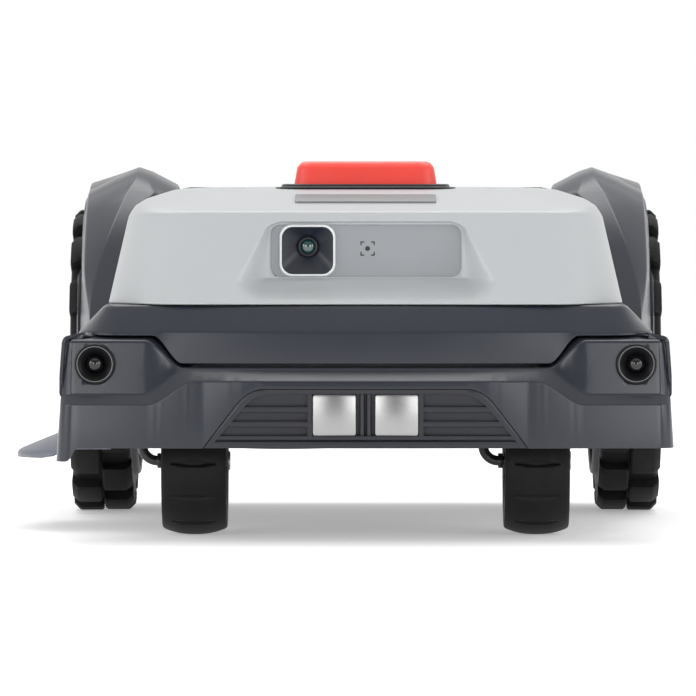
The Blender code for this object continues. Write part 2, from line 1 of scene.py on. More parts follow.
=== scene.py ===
import math
import bmesh
import bpy
from mathutils import Matrix, Vector


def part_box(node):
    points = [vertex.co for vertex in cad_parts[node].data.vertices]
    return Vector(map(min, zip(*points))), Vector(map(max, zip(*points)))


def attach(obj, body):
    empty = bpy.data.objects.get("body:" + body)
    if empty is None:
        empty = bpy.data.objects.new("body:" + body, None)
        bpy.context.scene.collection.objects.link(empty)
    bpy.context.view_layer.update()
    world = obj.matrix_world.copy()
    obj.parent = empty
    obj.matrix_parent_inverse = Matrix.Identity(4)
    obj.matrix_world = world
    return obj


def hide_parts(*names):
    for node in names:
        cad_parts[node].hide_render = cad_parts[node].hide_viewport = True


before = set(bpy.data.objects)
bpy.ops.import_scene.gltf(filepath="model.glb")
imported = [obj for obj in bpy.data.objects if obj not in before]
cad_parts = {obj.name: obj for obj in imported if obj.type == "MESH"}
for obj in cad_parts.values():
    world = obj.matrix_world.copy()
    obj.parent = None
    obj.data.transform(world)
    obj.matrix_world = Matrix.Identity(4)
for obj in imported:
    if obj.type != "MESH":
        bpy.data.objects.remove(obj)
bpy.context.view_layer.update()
print("frame loaded")

# the hood is centred on the machine, the bumper's front is the nose
hoodLow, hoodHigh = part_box("hood")
bumperLow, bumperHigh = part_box("bumper")
originX = (hoodLow.x + hoodHigh.x) / 2
originY = bumperLow.y + 0.320
mm = 0.001
bothSides = ((-1, "right"), (1, "left"))


def at(x, y, z):
    return Vector((originX + x * mm, originY + y * mm, z * mm))


def mix(a, b, t):
    return a + (b - a) * t


def ease(value, low, high):
    t = min(1.0, max(0.0, (value - low) / (high - low)))
    return t * t * (3 - 2 * t)


# finishes
def shaderNodes(name):
    material = bpy.data.materials.new(name)
    material.use_nodes = True
    tree = material.node_tree
    shader = tree.nodes["Principled BSDF"]
    return material, tree, shader


def noiseNode(tree, coords, scale, detail=3.0, rough=0.55, stretch=None):
    source = coords.outputs["Object"]
    if stretch:
        mapping = tree.nodes.new("ShaderNodeMapping")
        mapping.inputs["Scale"].default_value = stretch
        tree.links.new(source, mapping.inputs["Vector"])
        source = mapping.outputs["Vector"]
    noise = tree.nodes.new("ShaderNodeTexNoise")
    noise.inputs["Scale"].default_value = scale
    noise.inputs["Detail"].default_value = detail
    noise.inputs["Roughness"].default_value = rough
    tree.links.new(source, noise.inputs["Vector"])
    return noise


def remap(tree, value, low, high, outLow, outHigh):
    node = tree.nodes.new("ShaderNodeMapRange")
    node.inputs["From Min"].default_value = low
    node.inputs["From Max"].default_value = high
    node.inputs["To Min"].default_value = outLow
    node.inputs["To Max"].default_value = outHigh
    tree.links.new(value, node.inputs["Value"])
    return node.outputs["Result"]


def mixColour(tree, factor, first, second):
    node = tree.nodes.new("ShaderNodeMix")
    node.data_type = "RGBA"
    tree.links.new(factor, node.inputs["Factor"])
    for socket, value in (("A", first), ("B", second)):
        target = [s for s in node.inputs if s.name == socket and s.type == "RGBA"][0]
        if isinstance(value, tuple):
            target.default_value = (*value, 1.0)
        else:
            tree.links.new(value, target)
    return [s for s in node.outputs if s.type == "RGBA"][0]


def moulded(name, colour, roughness, grain=1500.0, grainBump=0.05, variation=0.06, coat=0.0,
        dust=0.0, wear=0.0, spec=0.5, metallic=0.0, stretch=None, roughSpread=0.08):
    material, tree, shader = shaderNodes(name)
    coords = tree.nodes.new("ShaderNodeTexCoord")
    broad = noiseNode(tree, coords, 9.0, 4.0)
    dark = tuple(c * (1 - variation) for c in colour)
    light = tuple(min(1.0, c * (1 + variation)) for c in colour)
    base = mixColour(tree, remap(tree, broad.outputs["Fac"], 0.3, 0.7, 0, 1), dark, light)
    if wear > 0:
        geometry = tree.nodes.new("ShaderNodeNewGeometry")
        scuff = noiseNode(tree, coords, 120.0, 5.0)
        edge = remap(tree, geometry.outputs["Pointiness"], 0.53, 0.60, 0, 1)
        combine = tree.nodes.new("ShaderNodeMath")
        combine.operation = "MULTIPLY"
        tree.links.new(edge, combine.inputs[0])
        tree.links.new(remap(tree, scuff.outputs["Fac"], 0.42, 0.62, 0, wear), combine.inputs[1])
        worn = tuple(min(1.0, c * 1.6 + 0.03) for c in colour)
        base = mixColour(tree, combine.outputs[0], base, worn)
    if dust > 0:
        speck = noiseNode(tree, coords, 34.0, 6.0, 0.7)
        amount = remap(tree, speck.outputs["Fac"], 0.48, 0.72, 0, dust)
        base = mixColour(tree, amount, base, (0.30, 0.28, 0.24))
    tree.links.new(base, shader.inputs["Base Color"])
    fine = noiseNode(tree, coords, grain, 2.0, 0.5, stretch)
    smear = noiseNode(tree, coords, 26.0, 4.0)
    tree.links.new(remap(tree, smear.outputs["Fac"], 0.3, 0.7, roughness - roughSpread / 2,
        roughness + roughSpread / 2), shader.inputs["Roughness"])
    bump = tree.nodes.new("ShaderNodeBump")
    bump.inputs["Strength"].default_value = grainBump
    bump.inputs["Distance"].default_value = 0.0004
    tree.links.new(fine.outputs["Fac"], bump.inputs["Height"])
    tree.links.new(bump.outputs["Normal"], shader.inputs["Normal"])
    shader.inputs["Metallic"].default_value = metallic
    shader.inputs["Specular IOR Level"].default_value = spec
    shader.inputs["Coat Weight"].default_value = coat
    shader.inputs["Coat Roughness"].default_value = 0.12
    return material


# name, colour, roughness, grain scale, grain bump and variation, then the rest by name
finishTable = [
    ("hoodPlastic", (0.43, 0.445, 0.455), 0.34, 1800, 0.05, 0.015, {"roughSpread": 0.03}),
    ("shellPlastic", (0.024, 0.027, 0.038), 0.25, 1500, 0.05, 0.04, {"roughSpread": 0.03}),
    ("bumperPlastic", (0.022, 0.025, 0.035), 0.22, 1500, 0.04, 0.04, {"roughSpread": 0.03}),
    ("hullPlastic", (0.045, 0.047, 0.055), 0.55, 1200, 0.16, 0.1, {"dust": 0.12}),
    ("panelPlastic", (0.25, 0.265, 0.28), 0.45, 1600, 0.07, 0.03, {}),
    ("bezelPlastic", (0.72, 0.74, 0.75), 0.35, 1800, 0.03, 0.02, {}),
    ("funnelPlastic", (0.013, 0.016, 0.026), 0.35, 1500, 0.08, 0.05, {}),
    ("blackPlastic", (0.012, 0.012, 0.014), 0.38, 1500, 0.1, 0.06, {}),
    ("buttonRed", (0.86, 0.066, 0.048), 0.36, 1500, 0.05, 0.03, {"wear": 0.15}),
    ("tyreRubber", (0.0045, 0.0045, 0.0048), 0.62, 700, 0.28, 0.14, {"dust": 0.02, "spec": 0.22}),
    ("casterRubber", (0.0045, 0.0045, 0.0048), 0.5, 800, 0.22, 0.12, {"dust": 0.015,
     "spec": 0.22}),
    ("rimPlastic", (0.17, 0.175, 0.185), 0.5, 1400, 0.1, 0.06, {"dust": 0.05}),
    ("steel", (0.5, 0.5, 0.51), 0.3, 900, 0.08, 0.08, {"metallic": 1.0, "stretch": (1.0, 1.0,
     0.08)}),
    ("bladeSteel", (0.55, 0.55, 0.56), 0.28, 900, 0.15, 0.08, {"metallic": 1.0, "stretch": (0.1,
     1.0, 1.0)}),
    ("contactSteel", (0.36, 0.36, 0.36), 0.3, 1100, 0.06, 0.03, {"metallic": 1.0,
     "stretch": (0.06, 1.0, 1.0), "roughSpread": 0.05}),
    ("plateMetal", (0.2, 0.205, 0.21), 0.48, 1400, 0.14, 0.06, {"metallic": 0.7,
     "stretch": (0.03, 1.0, 1.0)}),
    ("motorPaint", (0.13, 0.135, 0.14), 0.4, 900, 0.1, 0.08, {}),
    ("packBlue", (0.03, 0.045, 0.1), 0.42, 1100, 0.1, 0.06, {}),
    ("boardGreen", (0.02, 0.12, 0.05), 0.38, 500, 0.12, 0.12, {}),
    ("lensGlass", (0.008, 0.05, 0.055), 0.06, 400, 0.0, 0.1, {"coat": 1.0, "roughSpread": 0.02,
     "spec": 0.9}),
    ("grillePlastic", (0.009, 0.01, 0.017), 0.36, 1500, 0.08, 0.06, {}),
    ("guardPlastic", (0.16, 0.17, 0.2), 0.42, 1500, 0.1, 0.05, {"wear": 0.3}),
    ("sensorBlack", (0.003, 0.003, 0.004), 0.3, 1500, 0.05, 0.05, {"spec": 0.25}),
    ("sensorTrim", (0.12, 0.125, 0.13), 0.25, 1500, 0.03, 0.05, {}),
    ("forkBlack", (0.014, 0.014, 0.015), 0.3, 900, 0.05, 0.06, {"coat": 0.3}),
    ("domeGlass", (0.002, 0.002, 0.003), 0.07, 400, 0.0, 0.1, {"coat": 0.4, "roughSpread": 0.02,
     "spec": 0.5}),
    ]
finishes = {name: moulded(name, *values, **others) for name, *values, others in finishTable}
print("finishes made")


# mesh helpers
def meshObject(name, verts, faces, weld=False):
    mesh = bpy.data.meshes.new(name)
    mesh.from_pydata([at(*v) for v in verts], [], faces)
    work = bmesh.new()
    work.from_mesh(mesh)
    if weld:
        bmesh.ops.remove_doubles(work, verts=work.verts, dist=0.00002)
    bmesh.ops.recalc_face_normals(work, faces=work.faces)
    work.to_mesh(mesh)
    work.free()
    item = bpy.data.objects.new(name, mesh)
    bpy.context.scene.collection.objects.link(item)
    return item


def makePiece(name, verts, faces, finish, body, slotName, replaced=(), smooth=34.0, thick=0.0,
        weld=False):
    piece = meshObject(name, verts, faces, weld)
    mesh = piece.data
    mesh.materials.append(finishes[finish])
    mesh.shade_smooth()
    mesh.set_sharp_from_angle(angle=math.radians(smooth))
    if thick:
        shell = piece.modifiers.new("wall", "SOLIDIFY")
        shell.thickness = thick * mm
        shell.offset = -1.0
    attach(piece, body)
    if replaced:
        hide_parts(*replaced)
    return piece


def gridFaces(rows, cols, closedRows=False, closedCols=False):
    faces = []
    for i in range(rows if closedRows else rows - 1):
        for j in range(cols if closedCols else cols - 1):
            k = (i + 1) % rows
            m = (j + 1) % cols
            faces.append((i * cols + j, i * cols + m, k * cols + m, k * cols + j))
    return faces


def sheet(rows, closedRows=False, closedCols=False):
    verts = [p for row in rows for p in row]
    return verts, gridFaces(len(rows), len(rows[0]), closedRows, closedCols)


def faceMiddle(verts, face):
    return sum((Vector(verts[k]) for k in face), Vector()) / len(face)


def foldFaces(low, count):
    return [(low + i, low + i + 1, low + count - 2 - i, low + count - 1 - i)
        for i in range(count // 2 - 1)]


def turned(a, b, angle):
    return (a * math.cos(angle) - b * math.sin(angle), a * math.sin(angle) + b * math.cos(angle))


def curveThrough(keys, steps):
    points = []
    for i in range(len(keys) - 1):
        p0 = Vector(keys[max(0, i - 1)])
        p1 = Vector(keys[i])
        p2 = Vector(keys[i + 1])
        p3 = Vector(keys[min(len(keys) - 1, i + 2)])
        for k in range(steps):
            t = k / steps
            points.append(0.5 * ((2 * p1) + (p2 - p0) * t + (2 * p0 - 5 * p1 + 4 * p2 - p3) * t * t
                + (3 * p1 - p0 - 3 * p2 + p3) * t ** 3))
    points.append(Vector(keys[-1]))
    return points


def filleted(points, radii, steps=5):
    result = []
    for i, point in enumerate(points):
        here = Vector(point)
        if i in (0, len(points) - 1):
            result.append(tuple(here))
            continue
        before = Vector(points[i - 1]) - here
        after = Vector(points[i + 1]) - here
        reach = min(radii[i], before.length * 0.48, after.length * 0.48)
        a = here + before.normalized() * reach
        b = here + after.normalized() * reach
        for k in range(steps + 1):
            t = k / steps
            result.append(tuple(a * (1 - t) ** 2 + here * 2 * t * (1 - t) + b * t * t))
    return result


def lathe(profile, centre, axis, steps=64, start=0.0):
    cx, cy, cz = centre
    verts = []
    rows = []
    for r, h in profile:
        row = []
        for k in range(1 if r < 0.001 else steps):
            angle = start + 2 * math.pi * k / steps
            a = r * math.cos(angle)
            b = r * math.sin(angle)
            place = {"x": (cx + h, cy + a, cz + b), "y": (cx + a, cy + h, cz + b),
                "z": (cx + a, cy + b, cz + h)}[axis]
            verts.append(place)
            row.append(len(verts) - 1)
        rows.append(row)
    pairs = list(zip(rows, rows[1:]))
    if min(r for r, h in profile) > 0.001:
        pairs.append((rows[-1], rows[0]))
    faces = []
    for first, second in pairs:
        for k in range(steps):
            j = (k + 1) % steps
            face = []
            for v in (first[k % len(first)], first[j % len(first)], second[j % len(second)],
                    second[k % len(second)]):
                if v not in face:
                    face.append(v)
            if len(face) > 2:
                faces.append(tuple(face))
    return verts, faces


def softLathe(profile, radii, centre, axis, steps=64):
    return lathe(filleted(profile, radii, 4), centre, axis, steps)


def loft(rings):
    verts, faces = sheet(rings, closedCols=True)
    count = len(rings[0])
    faces.append(tuple(reversed(range(count))))
    faces.append(tuple(range(len(verts) - count, len(verts))))
    return verts, faces


def roundRect(x0, x1, y0, y1, radius, steps=8):
    points = []
    for cx, cy, start in ((x1, y1, 0), (x0, y1, 90), (x0, y0, 180), (x1, y0, 270)):
        mx = cx - radius if cx == x1 else cx + radius
        my = cy - radius if cy == y1 else cy + radius
        for k in range(steps + 1):
            angle = math.radians(start + 90 * k / steps)
            points.append((mx + radius * math.cos(angle), my + radius * math.sin(angle)))
    return points


def pillow(outline, low, high, axis, edge, steps=4):
    levels = []
    for k in range(steps + 1):
        angle = math.pi / 2 * k / steps
        levels.append((edge * (1 - math.sin(angle)), low + edge * (1 - math.cos(angle))))
    levels += [(inset, high - (level - low)) for inset, level in reversed(levels)]
    return loft([[(a, level, b) if axis == "y" else (a, b, level) for a, b in outline(inset)]
        for inset, level in levels])


def addTo(target, part):
    verts, faces = target
    base = len(verts)
    verts.extend(part[0])
    faces.extend(tuple(i + base for i in face) for face in part[1])
    return target


# swept skins
nosePlan = {"steps": 10}


def planPath(half, front, back, radius, bow, inward, sideStations, noseStations):
    half = half - inward
    front = front + inward
    inner = max(0.8, radius - inward)
    noseHalf = half - inner
    left = [(-half, y) for y in sideStations if y <= back]
    for k in range(nosePlan["steps"] + 1):
        angle = math.radians(180 + 90 * k / nosePlan["steps"])
        left.append((-half + inner + inner * math.cos(angle),
            front + bow + inner + inner * math.sin(angle)))
    nose = [(x, front + bow * min(1.0, abs(x) / noseHalf) ** 2) for x in noseStations]
    return left + nose + [(-x, y) for x, y in reversed(left)]


def sweptSheet(shape, section):
    base = planPath(*shape[:5], 0.0, *shape[5:])
    profiles = [section(p) for p in base]
    count = len(profiles[0])
    rows = [[None] * count for point in base]
    cache = {}
    for i, profile in enumerate(profiles):
        for j, (inward, z) in enumerate(profile):
            key = round(inward, 3)
            if key not in cache:
                cache[key] = planPath(*shape[:5], inward, *shape[5:])
            x, y = cache[key][i]
            rows[i][j] = (x, y, z)
    return sheet(rows)


def span(low, high, step):
    count = max(1, round((high - low) / step))
    return [low + (high - low) * k / count for k in range(count + 1)]


bumperLook = {"half": 241.6, "front": -320.0, "back": -203.0, "corner": 15.0, "bow": 9.0,
    "bottom": 73.7, "skirt": 63.0, "wall": 3.0, "lean": 0.0842, "sensorX": 210.7,
    "sensorZ": 139.0, "sensorHole": 11.6}
grilleEdge = [(126.6, 74.0), (103.5, 104.0), (100.0, 108.6), (96.6, 112.2), (92.6, 115.6),
    (88.0, 118.2), (83.0, 119.8), (78.0, 120.2), (0.0, 120.2)]


def grilleTop(side):
    for (x0, z0), (x1, z1) in zip(grilleEdge, grilleEdge[1:]):
        if side >= x1:
            return mix(z0, z1, min(1.0, max(0.0, (x0 - side) / (x0 - x1))))
    return grilleEdge[-1][1]


def podPath(sideIn, frontIn, sides, nose):
    look = bumperLook
    radius = max(1.5, look["corner"] - max(sideIn, frontIn - 8.0))
    half = look["half"] - sideIn
    front = look["front"] + frontIn
    cornerY = front + look["bow"] * (1 - radius / half) ** 2 + radius
    points = [(-half, mix(look["back"], cornerY, t)) for t in sides]
    for k in range(1, 9):
        a = math.pi / 2 * k / 9
        points.append((-half + radius * (1 - math.cos(a)), cornerY - radius * math.sin(a)))
    limit = half - radius
    for x in nose:
        x = max(-limit, min(limit, x * limit / nose[-1]))
        points.append((x, front + look["bow"] * (abs(x) / half) ** 2))
    points += [(-x, y) for x, y in reversed(points[:len(sides) + 8])]
    return points


def bumperSection(x, y):
    look = bumperLook
    side = abs(x)
    top = ease(side, 141, 172)
    low = ease(side, 132, 170)
    ledge = ease(side, 138, 176)
    around = ease(y, -306, -290)
    base = look["bottom"]
    if side < 126.6:
        base = grilleTop(side)
    if x < 0 and side > 225:
        base = mix(look["bottom"], look["skirt"], math.sqrt(ease(side, 225, 236.5)))
    base = mix(base, 112.0, ease(y, -282, -203))
    crease = max(base + 1.8, mix(125.9, 107.7, low))
    chamfer = max(base + 3.0, mix(134.2, 115.0, ledge))
    tilt = (crease - base) * 0.045
    corners = [(5.0, 0.0, base + 0.1), (0.5, 0.0, base + 0.1), (0.0, tilt, crease),
        (0.0, mix(12.9, 9.0, ledge), chamfer), (0.0, mix(15.4, 12.4, top), mix(136.4, 157.6, top)),
        (14.0, mix(28.0, 27.0, top), mix(137.0, 160.4, top)), (24.0, mix(32.5, 33.0, top),
        mix(136.6, 159.8, top))]
    radii = [0, 0.5, mix(1.2, 1.0, low), 1.6, mix(1.6, 2.6, top), 2.0, 0]
    flat = filletedThree(corners, radii, 5)
    out = []
    for inward, setback, z in flat:
        lean = (z - look["skirt"]) * look["lean"] + 7.0 * ease(y, -240, -203)
        out.append((inward + lean, mix(inward * 0.4 + setback, inward, around), z))
    return out


def filletedThree(points, radii, steps):
    result = [points[0]]
    for i in range(1, len(points) - 1):
        here = Vector(points[i])
        before = Vector(points[i - 1]) - here
        after = Vector(points[i + 1]) - here
        reach = min(radii[i], before.length * 0.48, after.length * 0.48)
        start = here + before.normalized() * reach
        end = here + after.normalized() * reach
        gap = Vector(result[-1])
        extra = 7 if i == 4 else 1
        for k in range(1, extra):
            result.append(tuple(gap.lerp(start, k / extra)))
        for k in range(steps):
            t = k / (steps - 1)
            mid = start.lerp(here, t).lerp(here.lerp(end, t), t)
            result.append(tuple(mid))
    result.append(points[-1])
    return result


def makeBumper():
    look = bumperLook
    sides = [k / 15 for k in range(16)]
    left = span(-226.6, -176, 2.6) + span(-174, -126.6, 1.6) + span(-124.6, -78, 1.6)
    nose = left + span(-72, 72, 8) + [-x for x in reversed(left)]
    base = podPath(0.0, 0.0, sides, nose)
    profiles = [bumperSection(*p) for p in base]
    count = len(profiles[0])
    cache = {}
    verts = []
    for i in range(len(base)):
        for sideIn, frontIn, z in profiles[i]:
            key = (round(sideIn, 1), round(frontIn, 1))
            if key not in cache:
                cache[key] = podPath(*key, sides, nose)
            x, y = cache[key][i]
            verts.append((x, y, z))
    faces = []
    for face in gridFaces(len(base), count):
        x = sum(abs(verts[k][0]) for k in face) / 4 - look["sensorX"]
        z = sum(verts[k][2] for k in face) / 4 - look["sensorZ"]
        y = sum(verts[k][1] for k in face) / 4
        if y > -285 or math.hypot(x, z) > look["sensorHole"]:
            faces.append(face)
    return makePiece("bumperSkin", verts, faces, "bumperPlastic", "bumper", "charcoal_plastic",
        ("bumper",), 40, look["wall"])


makeBumper()
print("bumper made")


def makeFrontShell():
    half, front, crease = 226.0, -303.0, 163.5

    def section(point):
        x, y = point
        end = ease(abs(x), 143, 166)
        bottom = mix(139.0, 160.9, end)
        if y > -200:
            bottom = mix(bottom, 130.0, ease(y, -196, -186))
            bottom = mix(bottom, 96.0, ease(y, -124, -106))
        inset = mix(11.5, 21.5, ease(y, -296, -262))
        corners = [(5.0, bottom), (0.2, bottom), (1.2, crease), (inset, 184.5), (36.0, 185.6)]
        return filleted(corners, [0, 1.0, 1.8, 3.0, 0], 5)

    side = span(-44, -104, 6) + span(-106, -126, 2) + span(-132, -182, 8)
    side += span(-184, -198, 2) + span(-206, -246, 10)
    middle = span(-166, -142, 1.6)
    nose = span(-182, -170, 4) + middle + span(-136, 136, 8) + [-x for x in reversed(middle)]
    nose += [170, 174, 178, 182]
    shape = (half, front, -44.0, 42.0, 9.0, side, nose)
    makePiece("frontShellSkin", *sweptSheet(shape, section), "shellPlastic", "chassis",
        "charcoal_plastic", ("front_shell",), 40, 2.8)


makeFrontShell()
print("front shell made")

# hood
hoodLook = {"rear": 200.0, "bayY": 50.0, "tongue": 156.6, "wall": 2.6,
    "recessTop": 250.3, "panelY": -260.5, "sillTop": 205.0, "sillLow": 187.6,
    "dishX": 110.0, "dishY": -152.0, "holeX": 57.6, "holeY0": -172.4, "holeY1": -121.6}
sideLine = [(0.0, 203.0, 185.0), (0.97, 187.6, 254.0), (1.12, 182.6, 261.8), (1.4, 174.0, 267.4),
    (2.0, 152.0, 274.4), (2.4, 128.0, 275.3), (3.0, 6.0, 276.0)]
frontLine = [(0.0, -292.0, 185.0), (1.0, -262.0, 257.0), (2.0, -199.0, 274.0), (2.4, -168.0,
    275.3), (3.0, -40.0, 276.0)]
cornerLine = [(0.0, 67.0), (1.0, 56.0), (2.0, 36.0), (2.4, 24.0), (3.0, 4.0)]


def follow(line, t, column, soft=0.035):
    total = 0.0
    for k in range(-3, 4):
        u = min(line[-1][0], max(line[0][0], t + soft * k / 3))
        for a, b in zip(line, line[1:]):
            if a[0] <= u <= b[0]:
                total += mix(a[column], b[column], (u - a[0]) / (b[0] - a[0]))
                break
    return total / 7


def recessHalf(z):
    if z > 243:
        return 79.0 - min(7.3, z - 243) ** 2 * 0.26
    if z > 203:
        return 79.0 + (243 - z) * 24.5 / 40.0
    return 103.5 - (203 - z) ** 2 * 0.055


def recessFoot(z):
    return min(75.4 + 6.0 * ease(208 - z, 0, 18), recessHalf(z) - 3.2)


def hoodFace(z):
    return -292.0 + (z - 185.0) * 30.0 / 72.0


def recessFloor(z):
    look = hoodLook
    if z >= look["sillTop"]:
        return look["panelY"]
    t = (look["sillTop"] - z) / (look["sillTop"] - look["sillLow"])
    return mix(look["panelY"], hoodFace(look["sillLow"]), min(1.0, t))


def dish(x, y):
    across = (abs(x) - hoodLook["dishX"]) / 27.0
    along = (y - hoodLook["dishY"]) / 24.0
    far = (abs(across) ** 2.6 + abs(along) ** 2.6) ** (1 / 2.6)
    return -2.4 * (1 - ease(far, 0.72, 1.0))


def hoodRing(t):
    half = follow(sideLine, t, 1)
    zSide = follow(sideLine, t, 2)
    front = follow(frontLine, t, 1)
    zFront = follow(frontLine, t, 2)
    radius = follow(cornerLine, t, 1)
    ring = []
    sideYs = span(hoodLook["rear"], 64, 14) + span(60, 30, 2) + [22, 10, -10, -40, -80, -120, -160]
    stop = front + radius
    left = []
    for y in sideYs:
        goal = mix(stop, 30.0, (y + 175) / 205.0) if y < 30 else y
        left.append((-half, max(goal, stop + 0.5), 0.0))
    for k in range(17):
        angle = math.radians(180 + 90 * k / 16)
        left.append((-half + radius + radius * math.cos(angle),
            front + radius + radius * math.sin(angle), ease(k / 16, 0, 1)))
    straight = half - radius
    zWall = min(hoodLook["recessTop"], zFront)
    edge = min(recessHalf(zWall), straight * 0.80)
    foot = min(recessFoot(zWall), straight * 0.75)
    columns = [foot * k / 75.4 for k in (10.0, 19.0, 31.0, 43.0, 55.0, 64.0, 71.0)]
    columns += [mix(foot, edge, k) for k in (0.0, 0.05, 0.12, 0.2, 0.3, 0.42, 0.55, 0.68, 0.8,
        0.9, 0.96, 1.0)]
    columns += [mix(edge, straight, k / 6) for k in range(1, 6)]
    frontRow = [(-x, front, 1.0) for x in reversed(columns)] + [(x, front, 1.0) for x in columns]
    ring = left + frontRow + [(-x, y, f) for x, y, f in reversed(left)]
    points = []
    for x, y, f in ring:
        z = mix(zSide, zFront, f)
        if t > 1.6:
            z += dish(x, y) * ease(t, 1.6, 2.0)
        if f >= 1.0 and hoodLook["sillLow"] < z < hoodLook["recessTop"]:
            wall = recessHalf(z) - recessFoot(z)
            into = ease(recessHalf(z) - abs(x), 0.0, wall) * ease(hoodLook["recessTop"] - z, 0,
                2.2)
            y += max(0.0, recessFloor(z) - hoodFace(z)) * into
        limit = mix(210.0, hoodLook["tongue"], ease(y, 34, hoodLook["bayY"]))
        x = max(-limit, min(limit, x))
        points.append((x, y, z))
    return points


def underButton(corners):
    xs, ys, zs = zip(*corners)
    return (min(xs) < hoodLook["holeX"] and max(xs) > -hoodLook["holeX"] and min(zs) > 260
        and max(ys) > hoodLook["holeY0"] and min(ys) < hoodLook["holeY1"])


def makeHood():
    levels = span(0.0, 0.26, 0.02) + span(0.27, 0.30, 0.01) + span(0.34, 0.86, 0.04)[:-1]
    levels += span(0.86, 0.92, 0.006) + [0.93, 0.945, 0.96]
    levels += span(0.975, 1.1, 0.0125) + span(1.13, 2.1, 0.04) + span(2.14, 2.96, 0.045)
    rings = [hoodRing(t) for t in levels]
    verts, grid = sheet(rings)
    faces = []
    for face in grid + foldFaces(len(verts) - len(rings[0]), len(rings[0])):
        # left open behind the vision unit and under the button
        x, y, z = faceMiddle(verts, face)
        behindVision = -71.0 < x < -19.0 and 206.6 < z < 246.9 and y < -250
        if not behindVision and not underButton([verts[k] for k in face]):
            faces.append(face)
    makePiece("hoodSkin", verts, faces, "hoodPlastic", "chassis", "light_plastic", ("hood",), 38,
        hoodLook["wall"], weld=True)


makeHood()
print("hood made")

visionLook = {"panelX0": -74.3, "panelX1": 74.8, "panelLow": 206.0, "panelHigh": 247.0,
    "bezelX0": -67.6, "bezelX1": -23.4, "bezelLow": 206.4, "bezelHigh": 247.4,
    "rise": 5.0, "lensX": -45.2, "lensZ": 229.8, "funnelDeep": 11.0}


def ringsAlongY(levels, shape):
    return [[(x, y, z) for x, z in shape(inset, radius)] for inset, y, radius in levels]


def makeVision():
    look = visionLook
    face = hoodLook["panelY"]

    def panelShape(inset, radius):
        return roundRect(look["panelX0"] + inset, look["panelX1"] - inset,
            look["panelLow"] + inset, look["panelHigh"] - inset, radius, 8)

    rings = ringsAlongY([(0.0, face + 1.5, 8.0), (0.0, face - 0.5, 8.0), (0.15, face - 0.85, 7.9),
        (0.5, face - 1.0, 7.6)], panelShape)
    hole = roundRect(look["bezelX0"] + 1.2, look["bezelX1"] - 1.2, look["bezelLow"] + 1.2,
        look["bezelHigh"] - 1.8, 9.0, 8)
    rings.append([(x, face - 1.0, z) for x, z in hole])
    rings.append([(x, face + 1.5, z) for x, z in hole])
    makePiece("visionPanel", *sheet(rings, True, True), "panelPlastic", "chassis", "grey_plastic",
        ("camera_panel",), 40)

    def bezelShape(inset, radius):
        return roundRect(look["bezelX0"] + inset, look["bezelX1"] - inset,
            look["bezelLow"] + inset, look["bezelHigh"] - inset, radius, 8)

    top = face - look["rise"]
    levels = [(0.0, face + 1.0, 9.5), (0.1, face - 2.2, 9.5), (0.5, top + 1.4, 9.3),
        (0.8, top + 0.4, 9.1), (1.2, top + 0.05, 8.9), (1.6, top + 0.1, 8.8), (1.9, top + 0.5,
        8.7), (2.0, top + 1.2, 8.7), (2.1, top + 3.5, 8.6), (1.2, top + 5.0, 8.8)]
    rings = ringsAlongY(levels, bezelShape)
    makePiece("visionBezel", *sheet(rings, True, True), "bezelPlastic", "chassis", "white_plastic",
        ("camera_bezel",), 50)
    cx, cz = look["lensX"], look["lensZ"]
    midX = (look["bezelX0"] + look["bezelX1"]) / 2
    midZ = (look["bezelLow"] + look["bezelHigh"]) / 2
    wide = (look["bezelX1"] - look["bezelX0"]) / 2 - 2.02
    tall = (look["bezelHigh"] - look["bezelLow"]) / 2 - 2.02
    rings = []
    for t in (0.0, 0.02, 0.12, 0.3, 0.5, 0.7, 0.88, 1.0):
        hx = mix(wide, 8.2, t)
        hz = mix(tall, 8.2, t)
        px = mix(midX, cx, t)
        pz = mix(midZ, cz, t)
        shape = roundRect(px - hx, px + hx, pz - hz, pz + hz, mix(8.7, 8.15, t), 8)
        rings.append([(x, top + 1.2 + look["funnelDeep"] * t, z) for x, z in shape])
    verts, faces = sheet(rings, closedCols=True)
    faces.append(tuple(range(len(verts) - len(rings[0]), len(verts))))
    makePiece("visionFunnel", verts, faces, "funnelPlastic", "chassis", "black_plastic", (), 24,
        0.8)
    spot = (cx, top + 1.2 + look["funnelDeep"], cz)
    barrel = softLathe([(6.0, 1.0), (6.0, -2.6), (6.6, -3.2), (7.4, -3.2), (7.9, -1.4),
        (8.2, -0.6), (8.2, 1.0)], [0, 0.2, 0.4, 0.4, 0.4, 0, 0], spot, "y", 56)
    makePiece("visionBarrel", *barrel, "blackPlastic", "chassis", "black_plastic",
        ("camera_barrel",), 35)
    bead = [(0, -3.4), (1.2, -3.35), (2.4, -3.1), (3.6, -2.6), (4.6, -2.0), (5.3, -1.2),
        (5.9, -0.6), (5.9, 0.8), (0, 0.8)]
    makePiece("visionLens", *lathe(bead, spot, "y", 56), "lensGlass", "chassis", "lens_glass",
        ("camera_lens",), 35)


makeVision()


